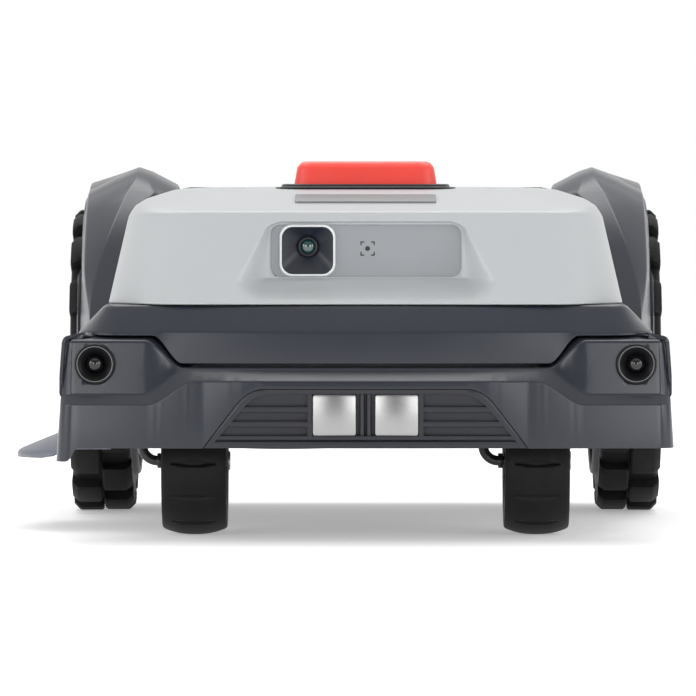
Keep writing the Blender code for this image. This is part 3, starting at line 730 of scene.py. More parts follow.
def makeFocusMark():
    look = {"x": 1.6, "z": 228.4, "half": 5.6, "arm": 3.0, "width": 0.9}
    face = hoodLook["panelY"] - 1.0
    part = ([], [])
    half, arm, wide = look["half"], look["arm"], look["width"]
    bars = []
    for sx in (-1, 1):
        for sz in (-1, 1):
            bars.append((sx * half, sx * (half - arm), sz * half, sz * (half - wide)))
            bars.append((sx * half, sx * (half - wide), sz * half, sz * (half - arm)))
    for x0, x1, z0, z1 in bars:
        x0, x1 = sorted((look["x"] + x0, look["x"] + x1))
        z0, z1 = sorted((look["z"] + z0, look["z"] + z1))
        addTo(part, loft([[(x, y, z) for x, z in ((x0, z0), (x1, z0), (x1, z1), (x0, z1))]
            for y in (face + 0.4, face - 0.12)]))
    dot = lathe([(0, -0.12), (1.9, -0.12), (1.9, 0.4), (0, 0.4)], (look["x"], face, look["z"]),
        "y", 28)
    addTo(part, dot)
    makePiece("focusMark", *part, "blackPlastic", "chassis", "black_plastic", (), 30)


makeFocusMark()
print("vision unit made")


def hoodFrontHeight(y):
    return 257.0 + (y + 262.0) * (274.0 - 257.0) / 63.0


def makeNameplate():
    rings = []
    edge = 0.35
    for k in range(4):
        angle = math.pi / 2 * k / 3
        inset = edge * (1 - math.cos(angle))
        lift = 0.35 + 0.7 + edge * math.sin(angle)
        shape = roundRect(-55.5 + inset, 55.5 - inset, -10.4 + inset, 10.4 - inset, 1.6, 5)
        rings.append([(x, -226 + v, hoodFrontHeight(-226 + v) + lift) for x, v in shape])
    base = roundRect(-55.5, 55.5, -10.4, 10.4, 1.6, 5)
    rings.insert(0, [(x, -226 + v, hoodFrontHeight(-226 + v) + 0.2) for x, v in base])
    makePiece("namePlateBlank", *loft(rings), "plateMetal", "chassis", "name_metal",
        ("nameplate",), 30)


makeNameplate()

buttonLook = {"y0": -172.0, "y1": -122.0}


def makeButton():
    rings = []
    lip = [(-3.0, 274.9), (-4.8, 275.2), (-5.2, 275.7), (-4.8, 276.2), (-1.2, 276.4), (-0.3,
        276.9),
        (0.0, 277.6), (0.3, 278.3), (1.2, 278.7), (2.6, 278.8)]
    for inset, z in lip:
        shape = roundRect(-67 + inset, 67 - inset, -181 + inset, -112 - inset, 20 - inset, 10)
        rings.append([(x, y, z) for x, y in shape])
    inner = [(0.0, 278.8), (0.5, 278.3), (0.6, 277.4), (0.6, 273.4)]
    for inset, z in inner:
        x = 58.2 - inset
        shape = roundRect(-x, x, buttonLook["y0"] - 1.2 + inset, buttonLook["y1"] + 1.2 - inset,
            12, 10)
        rings.append([(a, b, z) for a, b in shape])
    makePiece("buttonBase", *sheet(rings, True, True), "blackPlastic", "chassis", "black_plastic",
        ("button_base",), 40)
    rings = []
    profile = filleted([(0.3, 270.0), (0.3, 279.0), (2.6, 292.4), (6.4, 296.6), (14.0, 296.9)],
        [0, 1.0, 1.6, 3.0, 0], 6)
    for inset, z in profile:
        shape = roundRect(-57.2 + inset, 57.2 - inset, buttonLook["y0"] + inset,
            buttonLook["y1"] - inset, max(2.0, 11.5 - inset * 0.5), 10)
        rings.append([(x, y, z) for x, y in shape])
    makePiece("stopButtonCap", *loft(rings), "buttonRed", "stop_button", "red_plastic",
        ("stop_button",), 30)


makeButton()
print("button made")

# fenders
spineKeys = [(-43.5, 166.0), (-20, 196), (14, 236), (52, 268.5), (84, 285), (112, 291.4),
    (150, 292.2), (198, 288), (240, 277), (272, 260), (299, 234), (315, 204), (317.8, 150),
    (318.0, 92)]
archKeys = [(-43.5, 92), (0, 92), (45, 92), (41.2, 128), (53.5, 183), (93, 235), (140, 258),
    (188, 262.4), (236, 249), (277, 217), (302, 176), (310.8, 134), (308, 100), (306.5, 92)]


def hoodSide(z):
    return mix(203.0, 187.0, (z - 185) / 71.5)


def makeFender(sign, side):
    spine = curveThrough(spineKeys, 6)
    arch = curveThrough(archKeys, 6)
    rows = []
    for i, (s, a) in enumerate(zip(spine, arch)):
        y, h = s
        rise = min(1.0, max(0.0, (h - 172.0) / 113.0)) if y < 130 else 1.0
        before = spine[max(0, i - 1)]
        after = spine[min(len(spine) - 1, i + 1)]
        along = (after - before).normalized()
        inward = Vector((along.y, -along.x))
        if y < 130:
            inward = inward.lerp(Vector((0, -1)), 0.35).normalized()
        ridge = 226.0 - 34.5 * rise ** 1.7
        outer = mix(mix(226.6, 232.0, ease(y, -43, 0)), 233.2, rise)
        side0 = mix(227.5, 238.0, ease(y, -43, 22))
        if y < 52:
            innerX = max(hoodSide(h - 3) + 1.6, 188.5)
            innerDrop = 2.0
            if h > 262:
                t = (h - 262) / 23
                innerX = mix(188.5, 160, min(1, t))
                innerDrop = mix(2.0, 9.0, min(1, t))
        else:
            t = ease(h, 262, 285) if y < 130 else 1.0
            innerX = mix(188.5, 158.6, t)
            innerDrop = mix(2.0, 15.0, t)
        shoulder = mix(innerX, 180.0, ease(rise, 0.75, 1.0)) + 0.5
        shoulderDrop = mix(innerDrop * 0.6, 3.6, ease(rise, 0.75, 1.0))
        wall = 7.0 + 60.0 * ease(y, 110, 150)
        # the section stops short of the arch edge, clear of the tyre
        depth = 30.0 * rise + 6
        squeeze = min(1.0, max(0.05, ((a - s).dot(inward) - 7.0) / depth))
        section = [(innerX, innerDrop + wall), (innerX, innerDrop), (max(shoulder, innerX + 1.2),
            min(shoulderDrop, innerDrop - 0.3)), (ridge, 0.0), (mix(ridge, outer, 0.5),
            (8.2 * rise + 1.0) * squeeze), (outer, (17.0 * rise + 2.5) * squeeze),
            (mix(outer, side0, 0.55), depth * squeeze)]
        section = filleted(section, [0, 1.2, 1.6, 1.3, 2.0, 1.8, 0], 4)
        row = []
        for x, drop in section:
            place = s + inward * drop
            row.append((sign * x, place.x, place.y))
        start = s + inward * depth * squeeze
        for k, t in enumerate((0.12, 0.3, 0.5, 0.7, 0.85, 0.95, 1.0)):
            place = start.lerp(a, t)
            row.append((sign * mix(mix(outer, side0, 0.55), side0, ease(t, 0, 0.7)),
                place.x, place.y))
        row.append((sign * (side0 - 5.0), a.x, a.y))
        rows.append(row)
    makePiece(side + "FenderSkin", *sheet(rows), "shellPlastic", "chassis", "charcoal_plastic",
        (side + "_fender",), 42, 2.6)


for sign, side in bothSides:
    makeFender(sign, side)
print("fenders made")

# grille, contact plates and sensors


def grilleReach(z):
    for (x0, z0), (x1, z1) in zip(grilleEdge, grilleEdge[1:]):
        if z <= z1:
            return mix(x0, x1, (z - z0) / (z1 - z0))
    return 78.0


def noseY(x):
    return -320.0 + 9.0 * (abs(x) / 225.0) ** 2


def grilleOutline(inset, top):
    left = []
    for x, z in [(126.6, 74.0), (115.0, 89.06)] + grilleEdge[1:8]:
        left.append((-x + inset, 74.0 + (z - 74.0) * (top - 74.0) / 46.2))
    left += [(-60.0, top), (-30, top), (0, top)]
    return left + [(-x, z) for x, z in reversed(left[:-1])]


def makeGrille():
    # recessed back, two stepped lips round it, then three slat rows each side
    outer = grilleOutline(0.2, 120.0)
    lip = grilleOutline(0.9, 119.5)
    mid = grilleOutline(4.6, 116.9)
    deep = grilleOutline(5.4, 116.2)
    rows = []
    for outline, depth in ((outer, 3.4), (outer, 0.9), (lip, 0.5), (mid, 0.7), (deep, 1.1),
            (deep, 5.6)):
        rows.append([(x, noseY(x) + depth, z) for x, z in outline])
    part = sheet(rows)
    count = len(rows[0])
    base = len(part[0]) - count
    tip = base + count // 2
    part[1].extend(foldFaces(base, count) + [(tip - 1, tip, tip + 1)])
    for sign in (-1, 1):
        slats = [(73.9, 79.2), (80.4, 83.9), (90.5, 95.0), (101.9, 106.5)]
        for number, (low, high) in enumerate(slats):
            outerX = (grilleReach((low + high) / 2) - 4.4) if number else 123.6
            stations = span(0.0 if number < 2 else 44.5, outerX, 6)
            section = [(0.0, 6.0), (0.0, 1.9), (0.1, 1.45), (0.5, 1.25), (0.9, 1.45), (1.0, 1.9),
                (1.0, 6.0)]
            rings = []
            for x in stations:
                ring = []
                for t, depth in section:
                    flare = (0.5 - t) * (high - low) * 0.77 * ease(x, outerX - 9, outerX)
                    ring.append((sign * (x + flare), noseY(x) + depth, mix(low, high, t)))
                rings.append(ring)
            addTo(part, loft(rings))
    # post between the slats and each plate
    for sign in (-1, 1):
        rings = []
        for z in (83.0, 84.0, 115.6, 116.6):
            ring = []
            for x, depth in ((41.4, 5.2), (41.4, 1.8), (42.0, 1.3), (44.4, 1.3), (45.0, 1.8),
                    (45.0, 5.2)):
                ring.append((sign * x, noseY(x) + depth, z))
            rings.append(ring)
        addTo(part, loft(rings))
    # two round ribs between the contact plates
    for x0 in (-2.6, 2.6):
        rings = []
        for z in (83.6, 84.2, 116.0, 116.6):
            grow = 1.0 if 84 < z < 116.2 else 0.8
            rings.append([(x0 + 1.9 * grow * math.cos(math.radians(a)),
                -316.4 - 2.2 * grow * math.sin(math.radians(a)), z) for a in range(-30, 211, 15)])
        addTo(part, loft(rings))
    makePiece("bumperGrille", *part, "grillePlastic", "bumper", "charcoal_plastic",
        ("bumper_grille",), 34)
    for sign, side in bothSides:
        x0, x1 = sorted((sign * 7.4, sign * 41.0))
        rings = []
        low, high, corner = 83.1, 116.3, 2.8
        for step in (0.0, 0.01, 0.03, 0.06, 0.1, 0.2, 0.3, 0.4, 0.5, 0.6, 0.7, 0.8, 0.9, 0.94,
            0.97,
                0.99, 1.0):
            z = mix(low, high, step)
            away = min(z - low, high - z)
            inset = corner - math.sqrt(max(0.0, corner ** 2 - max(0.0, corner - away) ** 2))
            face = -318.9 + 1.25 * ((z - 99.7) / 16.6) ** 2
            rings.append([(x0 + inset, -315.6, z), (x0 + inset, face + 0.8, z),
                (x0 + inset + 0.25, face + 0.25, z), (x0 + inset + 0.9, face, z),
                (x1 - inset - 0.9, face, z), (x1 - inset - 0.25, face + 0.25, z),
                (x1 - inset, face + 0.8, z), (x1 - inset, -315.6, z)])
        makePiece(side + "ContactPlate", *loft(rings), "contactSteel", "bumper", "contact_steel",
            (side + "_contact_plate",), 30)


makeGrille()

sensorLook = {"x": 210.7, "z": 139.0, "front": -306.4}


def makeSensors():
    for sign, side in bothSides:
        spot = (sign * sensorLook["x"], sensorLook["front"], sensorLook["z"])
        ring = softLathe([(6.8, 16), (6.8, 6.4), (8.2, 5.4), (12.6, 1.5), (13.2, 0.9), (13.9, 0.2),
            (15.2, 0.0), (15.8, 0.8), (15.8, 16)], [0, 0.8, 1.0, 0.5, 0.4, 0.5, 0.5, 0.3, 0],
            spot, "y", 72)
        makePiece(side + "SensorRing", *ring, "sensorBlack", "bumper", "black_plastic",
            (side + "_sensor_ring",), 30)
        trim = softLathe([(13.3, 1.4), (13.3, -0.1), (14.0, -0.2), (14.2, 1.4)], [0, 0.2, 0.2, 0],
            spot, "y", 72)
        makePiece(side + "SensorTrim", *trim, "sensorTrim", "bumper", "black_plastic", (), 30)
        dome = [(0, 0.2)]
        for k in range(1, 13):
            angle = math.pi / 2 * k / 12
            dome.append((6.6 * math.sin(angle), 0.2 + 6.0 * (1 - math.cos(angle))))
        dome += [(6.6, 14.0), (0, 14.0)]
        makePiece(side + "SensorDome", *lathe(dome, spot, "y", 48), "domeGlass", "bumper",
            "lens_glass", (side + "_sensor_dome",), 30)


makeSensors()
print("bumper face made")


def cutHoles(piece, name, part):
    tool = meshObject(name, *part)
    step = piece.modifiers.new(name, "BOOLEAN")
    step.operation = "DIFFERENCE"
    step.solver = "EXACT"
    step.object = tool
    bpy.context.view_layer.update()
    ready = piece.evaluated_get(bpy.context.evaluated_depsgraph_get())
    fixed = bpy.data.meshes.new_from_object(ready)
    piece.modifiers.clear()
    piece.data = fixed
    bpy.data.objects.remove(tool, do_unlink=True)


# side guard
def makeSideGuard():
    outline = [(-205, -132), (-236, -134), (-262, -124), (-277, -108), (-282.5, -88),
        (-282.8, -60), (-279, -30), (-273, -4), (-262, 20), (-246, 32), (-205, 34)]
    plan = curveThrough(outline, 5)
    hubPoint = Vector((-214, -48))
    rows = []
    profile = filleted([(0.0, 57.6), (0.0, 61.2), (0.03, 63.4), (0.42, 74.5), (0.74, 83.0),
        (0.97, 85.0)], [0, 1.0, 2.0, 6.0, 5.0, 0], 4)
    for inward, z in profile:
        row = []
        for p in plan:
            q = p.lerp(Vector((max(p.x, -214.0), p.y * 0.9 + hubPoint.y * 0.1)), inward)
            row.append((q.x, q.y, max(z, 57.6 + 10.0 * ease(q.x, -262, -238))))
        rows.append(row)
    makePiece("sideGuardSkin", *sheet(rows), "guardPlastic", "chassis", "charcoal_plastic",
        ("side_guard",), 36, 2.6)


makeSideGuard()

# rear panel
def makeRearPanel():
    keys = [(203.6, 275.2), (236, 271.4), (262, 262.5), (286, 244), (303, 219), (314, 188),
        (318, 156), (318, 120), (317.4, 96), (312, 82), (303.6, 78)]
    line = curveThrough(keys, 8)
    rows = []
    for x in span(-157.0, 157.0, 6.5):
        edge = ease(157 - abs(x), 0, 7)
        rows.append([(x, p.x - 1.6 * (1 - edge), p.y - 1.4 * (1 - edge)) for p in line])
    panel = makePiece("rearPanelSkin", *sheet(rows), "shellPlastic", "chassis",
        "charcoal_plastic", ("rear_panel",), 40, 3.0)

    def slotRing(y, grow):
        return [(x, y, z) for x, z in roundRect(-55 - grow, 55 + grow, 205 - grow, 232 + grow,
            12, 10)]

    cutHoles(panel, "gripCut", loft([slotRing(262, 0), slotRing(330, 0)]))
    cup = []
    for y, grow, lean in ((309.3, 1.2, 1.0), (306.5, 0.4, 1.0), (290, 0.2, 0.3), (283, -2.5, 0),
            (281.5, -7.0, 0)):
        cup.append([(x, y - 0.5 * (z - 205) * lean, z) for x, _, z in slotRing(y, grow)])
    makePiece("gripLiner", *sheet(cup, closedCols=True), "blackPlastic", "chassis",
        "charcoal_plastic", (), 40, 1.6)
    for k in range(7):
        z = 104 + k * 9.0
        rib = pillow(lambda inset: roundRect(-74 + inset, 74 - inset, z - 2.4 + inset,
            z + 2.4 - inset, 2.0 - inset * 0.6, 5), 317.0, 319.4, "y", 1.0)
        makePiece("rearRib%d" % (k + 1), *rib, "blackPlastic", "chassis", "charcoal_plastic", (),
            40)


makeRearPanel()
print("rear made")

# drive wheels
wheelLook = {"axleY": 176.0, "axleZ": 128.0, "r": 128.0, "blocks": 16, "rowWide": 25.2,
    "inner": 196.0, "outer": 248.0, "blockShare": 0.60}


def makeDriveTyre(sign, side):
    look = wheelLook
    profile = [(96.6, 197.5), (104, 196.6), (112, 196.8), (116.5, 198.2), (118.6, 201.0),
        (119.4, 206.0), (119.4, 238.0), (118.6, 243.0), (116.5, 245.8), (112, 247.2),
        (104, 247.4), (96.6, 246.5)]
    base = filleted(profile, [0, 3, 3, 2, 2, 3, 3, 2, 2, 3, 3, 0], 2)
    centre = (0, look["axleY"], look["axleZ"])
    part = lathe([(r, sign * x) for r, x in base], centre, "x", 128)
    pitch = 2 * math.pi / look["blocks"]
    # two staggered rows of blocks, each bevelled towards its own shoulder
    wide = look["rowWide"]
    for shoulder, inwards, phase in ((look["inner"], 1, 0.0), (look["outer"], -1, 0.5)):
        for k in range(look["blocks"]):
            rings = []
            for t in (0.0, 0.05, 0.14, 0.5, 0.86, 0.95, 1.0):
                rim = min(t, 1 - t)
                tuck = 0.7 * (1 - ease(rim, 0, 0.10))
                top = look["r"] - 1.12 * (1 - ease(rim, 0, 0.12))
                shape = [(110, 1.0), (117.5, tuck), (top - 5.0, 0.3 + tuck),
                    (top - 1.0, 4.2 + tuck), (top, 6.0), (top, wide - 1.4 - tuck),
                    (top - 1.4, wide - tuck), (116.0, wide)][::inwards]
                angle = (k + phase + look["blockShare"] * t) * pitch
                rings.append([(sign * (shoulder + inwards * d),
                    look["axleY"] + r * math.cos(angle),
                    look["axleZ"] + r * math.sin(angle)) for r, d in shape])
            addTo(part, loft(rings))
    makePiece(side + "DriveTyre", *part, "tyreRubber", side + "_drive_wheel", "wheel_rubber",
        (side + "_drive_tyre",), 30)


def makeDriveRim(sign, side):
    centre = (0, wheelLook["axleY"], wheelLook["axleZ"])
    disc = [(8.5, 214), (27, 214), (31, 216), (86, 211.5), (91, 204), (92, 193.0), (95.6, 191.4),
        (97.2, 193), (97.2, 246.2), (95.4, 247.6), (92.6, 246.4), (90, 236), (84.5, 229),
        (60, 222.5), (34, 224.5), (29, 236), (25.2, 237.2), (25.2, 232), (8.5, 232)]
    radii = [0, 1.5, 2, 5, 4, 1.5, 1.2, 1, 1, 1, 1.5, 4, 6, 6, 4, 2, 1, 0.5, 0]
    part = softLathe([(r, sign * x) for r, x in disc], radii, centre, "x", 96)
    for k in range(8):
        # eight flat ribs run from the hub to the rim
        angle = 2 * math.pi * k / 8 + 0.2
        rings = []
        for r, width, height in ((31, 5.2, 233.0), (40, 4.6, 230.5), (60, 4.0, 229.0),
                (78, 4.2, 231.5), (88, 5.4, 235.0)):
            ring = []
            for offset, x in ((-width, 220.0), (-width, height - 1.6), (-width + 1.4, height),
                    (width - 1.4, height), (width, height - 1.6), (width, 220.0)):
                a, b = turned(r, offset, angle)
                ring.append((sign * x, centre[1] + a, centre[2] + b))
            rings.append(ring)
        addTo(part, loft(rings))
    makePiece(side + "DriveRim", *part, "rimPlastic", side + "_drive_wheel", "grey_plastic",
        (side + "_drive_rim",), 30)
    cap = softLathe([(r, sign * x) for r, x in [(0, 232.4), (24.4, 232.4), (24.4, 238.6),
        (20.5, 241.6), (14, 241.9), (12.6, 240.7), (0, 240.7)]], [0, 0, 1, 2, 0.8, 0.5, 0],
        centre, "x", 64)
    makePiece(side + "HubCap", *cap, "shellPlastic", side + "_drive_wheel", "charcoal_plastic",
        (side + "_hub_cap",), 30)


for sign, side in bothSides:
    makeDriveTyre(sign, side)
    makeDriveRim(sign, side)
print("drive wheels made")

# casters
casterLook = {"x": 135.7, "y": -215.0, "trail": 28.0, "r": 58.5, "edgeR": 53.4, "half": 25.7,
    "rod": 4.0, "treadSteps": 260, "grooves": 13, "spokes": 5}


def bar(path, radii, sides=20):
    points = [Vector(p) for p in path]
    rings = []
    up = Vector((0, 1, 0))
    for i, point in enumerate(points):
        along = (points[min(len(points) - 1, i + 1)] - points[max(0, i - 1)]).normalized()
        across = (up - along * up.dot(along)).normalized()
        third = along.cross(across)
        rings.append([tuple(point + (across * math.cos(2 * math.pi * k / sides)
            + third * math.sin(2 * math.pi * k / sides)) * radii[i]) for k in range(sides)])
    return loft(rings)


def turnAbout(cx, cz, radius, start, end, steps):
    return [(cx + radius * math.cos(math.radians(mix(start, end, k / steps))),
        cz + radius * math.sin(math.radians(mix(start, end, k / steps))))
        for k in range(steps + 1)]


def makeCaster(sign, side):
    look = casterLook
    cx = sign * look["x"]
    flat = [(0, 150), (0, 140), (0, 128)] + turnAbout(-6, 126, 6, 0, -90, 8)
    flat += [(-12, 120), (-24, 120)] + turnAbout(-30, 108, 12, 90, 180, 10)
    flat += [(-42, 100), (-42, 90), (-42, 80)] + turnAbout(-30, 70.5, 12, 180, 270, 12)
    flat += [(-29.4, 58.5), (24, 58.5), (26, 58.5)]
    path = []
    for x, z in flat:
        back = look["trail"] * ease(-z, -112, -60)
        path.append((cx + x, look["y"] + back, z))
    part = bar(path, [look["rod"]] * len(path))
    axleY, axleZ = look["y"] + look["trail"], look["r"]
    collar = softLathe([(4.0, -30.2), (6.0, -30.2), (6.0, -26.3), (4.0, -26.3)], [0, 0.7, 0.7, 0],
        (cx, axleY, axleZ), "x", 32)
    addTo(part, collar)
    makePiece(side + "CasterFork", *part, "forkBlack", side + "_caster", "bare_steel",
        (side + "_caster_fork",), 30)
    clip = softLathe([(0, 26.4), (7.6, 26.4), (7.6, 27.6), (6.2, 28.2), (0, 28.2)], [0, 0.3, 0.5,
        0.6, 0], (cx, axleY, axleZ), "x", 32)
    makePiece(side + "CasterClip", *clip, "steel", side + "_caster", "bare_steel",
        (side + "_caster_clip",), 30)
    # tyre: crowned tread with short lens-shaped grooves across it
    across = [-1.0, -0.97, -0.9] + [k / 10 for k in range(-8, 9)] + [0.9, 0.97, 1.0]
    rows = []
    for i in range(look["treadSteps"]):
        angle = 2 * math.pi * i / look["treadSteps"]
        row = [(41.6, -24.6), (45, -25.7)]
        for u in across:
            r = look["edgeR"] + (look["r"] - look["edgeR"]) * (1 - abs(u) ** 2.4)
            if abs(u) > 0.96:
                r -= (abs(u) - 0.96) * 26
            offset = (angle / (2 * math.pi) * look["grooves"]) % 1.0 - 0.5
            half = 0.085 * math.sqrt(max(0.0, 1 - (u / 0.67) ** 2)) if abs(u) < 0.67 else 0
            if half > 0:
                r -= 1.5 * (1 - ease(abs(offset), half * 0.45, half))
            row.append((r, u * look["half"]))
        row += [(45, 25.7), (41.6, 24.6)]
        rows.append([(cx + x, axleY + r * math.cos(angle), axleZ + r * math.sin(angle))
            for r, x in row])
    makePiece(side + "CasterTyre", *sheet(rows, True, True), "casterRubber",
        side + "_caster_wheel", "caster_rubber", (side + "_caster_tyre",), 30)
    hub = [(4.6, -24), (11, -24), (13, -16), (17, -12), (34, -12), (38.4, -19), (41.3, -21),
        (41.3, 21), (38.4, 19), (34, 12), (17, 12), (13, 16), (11, 22), (4.6, 22)]
    part = softLathe(hub, [0, 1, 2, 2, 3, 2, 0.6, 0.6, 2, 3, 2, 2, 1, 0], (cx, axleY, axleZ), "x",
        64)
    for k in range(look["spokes"]):
        angle = 2 * math.pi * k / look["spokes"]
        rings = []
        for r in (12, 38.6):
            rings.append([(cx + x, axleY + turned(r, o, angle)[0], axleZ + turned(r, o, angle)[1])
                for o, x in ((-1.8, -17), (1.8, -17), (1.8, 17), (-1.8, 17))])
        addTo(part, loft(rings))
    makePiece(side + "CasterHub", *part, "rimPlastic", side + "_caster_wheel", "grey_plastic",
        (side + "_caster_hub",), 30)


for sign, side in bothSides:
    makeCaster(sign, side)
print("casters made")

# cutting head
deckLook = {"x": -66.0, "y": 0.0, "pivotR": 72.0}


def makeDeck():
    look = deckLook
    centre = (look["x"], look["y"], 0)
    disc = softLathe([(0, 72.0), (66, 72.0), (79, 72.1), (85, 73.4), (85, 74.8), (79, 76.0),
        (60, 75.2), (34, 77.2), (25, 82.2), (0, 82.2)], [0, 1, 2, 0.6, 0.6, 1.5, 2, 3, 2, 0],
        centre, "z", 96)
    for k in range(12):
        angle = 2 * math.pi * k / 12 + 0.13
        rings = []
        for r, z in ((26, 81.0), (50, 77.6), (76, 76.6)):
            rings.append([(look["x"] + turned(r, o, angle)[0],
                look["y"] + turned(r, o, angle)[1], h) for o, h in ((-1.2, 73), (1.2, 73), (1.0,
                z), (-1.0, z))])
        addTo(disc, loft(rings))
    makePiece("bladeDiscBody", *disc, "blackPlastic", "blade_disc", "black_plastic",
        ("blade_disc",), 30)
    skid = softLathe([(0, 71.6), (13.6, 71.6), (15.5, 66.2), (52, 65.4), (60.4, 66.4), (61, 64.6),
        (56.5, 61.9), (48, 61.6), (46, 62.5), (30, 62.5), (28, 61.6), (0, 61.6)], [0, 0.6, 2, 2,
        0.5, 0.8, 1.2, 0.6, 0.6, 0.6, 0.6, 0], centre, "z", 96)
    makePiece("skidPlateBody", *skid, "hullPlastic", "skid_plate", "charcoal_plastic",
        ("skid_plate",), 30)
    for k in range(3):
        angle = math.radians(90 + 120 * k)
        px = look["x"] + look["pivotR"] * math.cos(angle)
        py = look["y"] + look["pivotR"] * math.sin(angle)
        turn = angle - math.pi / 2
        outline = [(-5.5, -6), (-3.2, -8.3), (3.2, -8.3), (5.5, -6), (8, 5), (8, 29), (5.4, 33),
            (-5.4, 33), (-8, 29), (-8, 5)]

        def place(a, b, z):
            a, b = turned(a, b, turn)
            return px + a, py + b, z

        # cutting edges are ground thin along both long sides and the tip
        low = [place(a, b, 71.05) for a, b in outline]
        ground = [(a * (0.72 if b > 3 else 1.0), b - (2.0 if b > 30 else 0)) for a, b in outline]
        rings = [[place(a, b, 71.55) for a, b in ground], low, [place(a, b, 70.55) for a,
            b in ground]]
        # the pivot hole
        for z in (70.55, 71.55):
            rings.append([place(2.6 * math.cos(2 * math.pi * j / 10 - 1.9),
                2.6 * math.sin(2 * math.pi * j / 10 - 1.9), z) for j in range(10)])
        makePiece("cuttingBlade%d" % (k + 1), *sheet(rings, True, True), "bladeSteel",
            "blade_%d" % (k + 1),
            "bare_steel", ("blade_%d" % (k + 1),), 20)
        screw = softLathe([(0, 71.7), (2.2, 71.7), (2.2, 70.3), (5.0, 70.3), (5.0, 69.2),
            (3.9, 67.7), (2.2, 67.5), (1.8, 68.9), (0, 68.9)], [0, 0, 0, 0.3, 0.6, 0.6, 0.2, 0.2,
            0], (px, py, 0), "z", 32)
        makePiece("bladeScrew%d" % (k + 1), *screw, "steel", "blade_disc", "bare_steel",
            ("blade_screw_%d" % (k + 1),), 30)


makeDeck()
print("cutting head made")

# hull details and carried-over pieces
hullFinish = {"chassis_tub": "hullPlastic", "chassis_lid": "hullPlastic",
    "deck_tower": "hullPlastic", "battery_cover": "hullPlastic",
    "height_motor": "motorPaint", "battery_pack": "packBlue",
    "main_board": "boardGreen", "left_drive_motor": "motorPaint",
    "right_drive_motor": "motorPaint", "left_caster_socket": "blackPlastic",
    "right_caster_socket": "blackPlastic", "lift_carriage": "rimPlastic",
    "cutting_motor": "motorPaint"}
for node, finish in hullFinish.items():
    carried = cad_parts[node]
    carried.data.materials.clear()
    carried.data.materials.append(finishes[finish])
    soften = carried.modifiers.new("edge", "BEVEL")
    soften.width = 0.6 * mm
    soften.segments = 2
    soften.limit_method = "ANGLE"
    soften.angle_limit = math.radians(40)


def makeScrew(name, x, y, z):
    screw = softLathe([(0, z - 2.2), (2.0, z - 2.2), (2.4, z - 3.4), (4.6, z - 3.0), (5.0,
        z - 1.4),
        (5.0, z + 1.0), (0, z + 1.0)], [0, 0.2, 0.5, 0.8, 0.6, 0, 0], (x, y, 0), "z", 28)
    makePiece(name, *screw, "steel", "chassis", "bare_steel", (), 30)


number = 0
for x, y in ((-76, 212), (76, 212), (-76, 278), (76, 278)):
    number += 1
    makeScrew("hatchScrew%d" % number, x, y, 73.0)
for x, y in ((-170, -104), (176, -104), (-176, 130), (176, 130), (-176, 288), (176, 288),
        (100, -104), (176, 20)):
    number += 1
    makeScrew("hullScrew%d" % number, x, y, 73.0)
for k in range(5):
    y = -92 + k * 40
    rib = pillow(lambda inset: roundRect(76 + inset, 168 - inset, y - 3 + inset, y + 3 - inset,
        2.6 - inset * 0.5, 5), 69.4, 73.0, "z", 1.2)
    makePiece("hullRib%d" % (k + 1), *rib, "hullPlastic", "chassis", "charcoal_plastic", (), 40)
print("hull details made")

# lights, floor and camera
floorMesh = bpy.data.meshes.new("studioFloor")
floorMesh.from_pydata([(-30, -30, 0), (30, -30, 0), (30, 30, 0), (-30, 30, 0)], [], [(0, 1, 2, 3)])
studioFloor = bpy.data.objects.new("studioFloor", floorMesh)
bpy.context.scene.collection.objects.link(studioFloor)
floorPaint = moulded("floorPaint", (0.90, 0.90, 0.90), 0.8, 40, 0.0, 0.005)
floorShader = floorPaint.node_tree.nodes["Principled BSDF"]
floorShader.inputs["Emission Color"].default_value = (1, 1, 1, 1)
floorShader.inputs["Emission Strength"].default_value = 0.30
floorMesh.materials.append(floorPaint)

bpy.context.scene.view_settings.view_transform = "Standard"
world = bpy.data.worlds.new("studioWorld")
bpy.context.scene.world = world


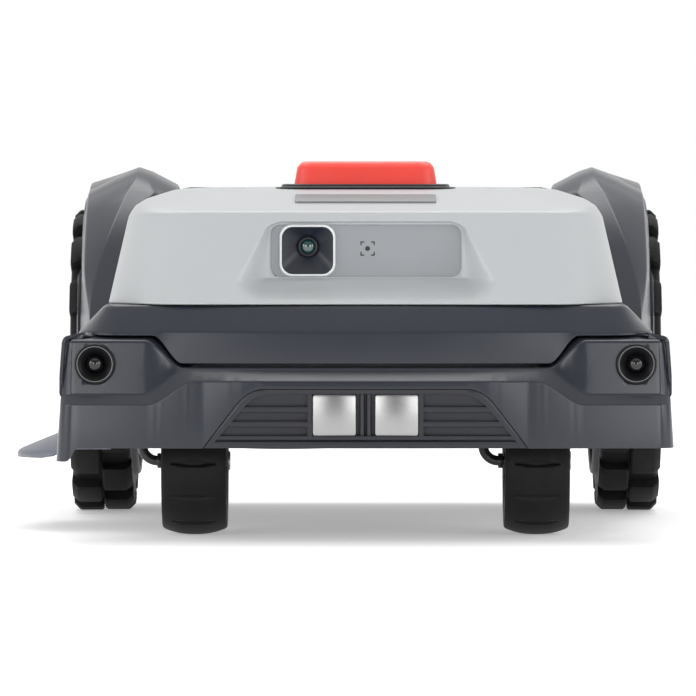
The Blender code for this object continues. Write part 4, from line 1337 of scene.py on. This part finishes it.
def makeStudioWorld(tree, back=1.15, front=0.16, sides=0.9, zenith=1.15):
    tree.nodes.clear()
    place = tree.nodes.new("ShaderNodeTexCoord")
    split = tree.nodes.new("ShaderNodeSeparateXYZ")
    tree.links.new(place.outputs["Generated"], split.inputs["Vector"])
    depth = remap(tree, split.outputs["Y"], -0.6, 0.5, front, back)
    width = tree.nodes.new("ShaderNodeMath")
    width.operation = "ABSOLUTE"
    tree.links.new(split.outputs["X"], width.inputs[0])
    flank = remap(tree, width.outputs[0], 0.35, 0.95, 0.0, sides)
    low = tree.nodes.new("ShaderNodeMath")
    low.operation = "MAXIMUM"
    tree.links.new(depth, low.inputs[0])
    tree.links.new(flank, low.inputs[1])
    high = remap(tree, split.outputs["Z"], 0.45, 0.9, 0.0, 1.0)
    blend = tree.nodes.new("ShaderNodeMix")
    blend.data_type = "FLOAT"
    tree.links.new(high, blend.inputs[0])
    tree.links.new(low.outputs[0], blend.inputs[2])
    blend.inputs[3].default_value = zenith
    lit = tree.nodes.new("ShaderNodeBackground")
    tree.links.new(blend.outputs[0], lit.inputs["Strength"])
    seen = tree.nodes.new("ShaderNodeBackground")
    seen.inputs["Color"].default_value = (1, 1, 1, 1)
    path = tree.nodes.new("ShaderNodeLightPath")
    pick = tree.nodes.new("ShaderNodeMixShader")
    tree.links.new(path.outputs["Is Camera Ray"], pick.inputs[0])
    tree.links.new(lit.outputs[0], pick.inputs[1])
    tree.links.new(seen.outputs[0], pick.inputs[2])
    out = tree.nodes.new("ShaderNodeOutputWorld")
    tree.links.new(pick.outputs[0], out.inputs["Surface"])


world.use_nodes = True
makeStudioWorld(world.node_tree)


def softbox(name, place, target, size, power):
    lamp = bpy.data.lights.new(name, "AREA")
    lamp.shape = "RECTANGLE"
    lamp.size, lamp.size_y = size
    lamp.energy = power
    lamp.spread = math.pi
    holder = bpy.data.objects.new(name, lamp)
    bpy.context.scene.collection.objects.link(holder)
    holder.location = place
    holder.visible_camera = False
    holder.rotation_mode = "QUATERNION"
    holder.rotation_quaternion = (Vector(target) - Vector(place)).to_track_quat("-Z", "Y")


softbox("overheadSoftbox", (0.0, 1.0, 2.4), (0, 0, 0.1), (2.4, 1.6), 36)
for name, (x, y, z), (aimX, aimY, aimZ), size, power in (
        ("Card", (1.12, -2.9, 0.66), (0.1, 0, 0.2), (1.0, 1.1), 13),
        ("Spark", (2.0, -1.9, 0.8), (0.2, -0.3, 0.14), (0.4, 0.7), 6),
        ("Window", (2.7, -1.3, 0.95), (0, 0, 0.15), (1.5, 1.7), 13)):
    for sign, side in reversed(bothSides):
        softbox(side + name, (sign * x, y, z), (sign * aimX, aimY, aimZ), size, power)

cameraLook = {"height": 290.0, "distance": 4900.0, "lens": 327.0, "aimX": -13.6, "aimZ": 152.0}
camData = bpy.data.cameras.new("studioCamera")
camData.sensor_width = 36.0
camData.lens = cameraLook["lens"]
camData.clip_start = 0.05
camData.clip_end = 100.0
studioCamera = bpy.data.objects.new("studioCamera", camData)
bpy.context.scene.collection.objects.link(studioCamera)
bpy.context.scene.camera = studioCamera
eye = at(0, -320 - cameraLook["distance"], cameraLook["height"])
aim = at(cameraLook["aimX"], -320, cameraLook["aimZ"])
studioCamera.location = eye
studioCamera.rotation_mode = "QUATERNION"
studioCamera.rotation_quaternion = (aim - eye).to_track_quat("-Z", "Y")
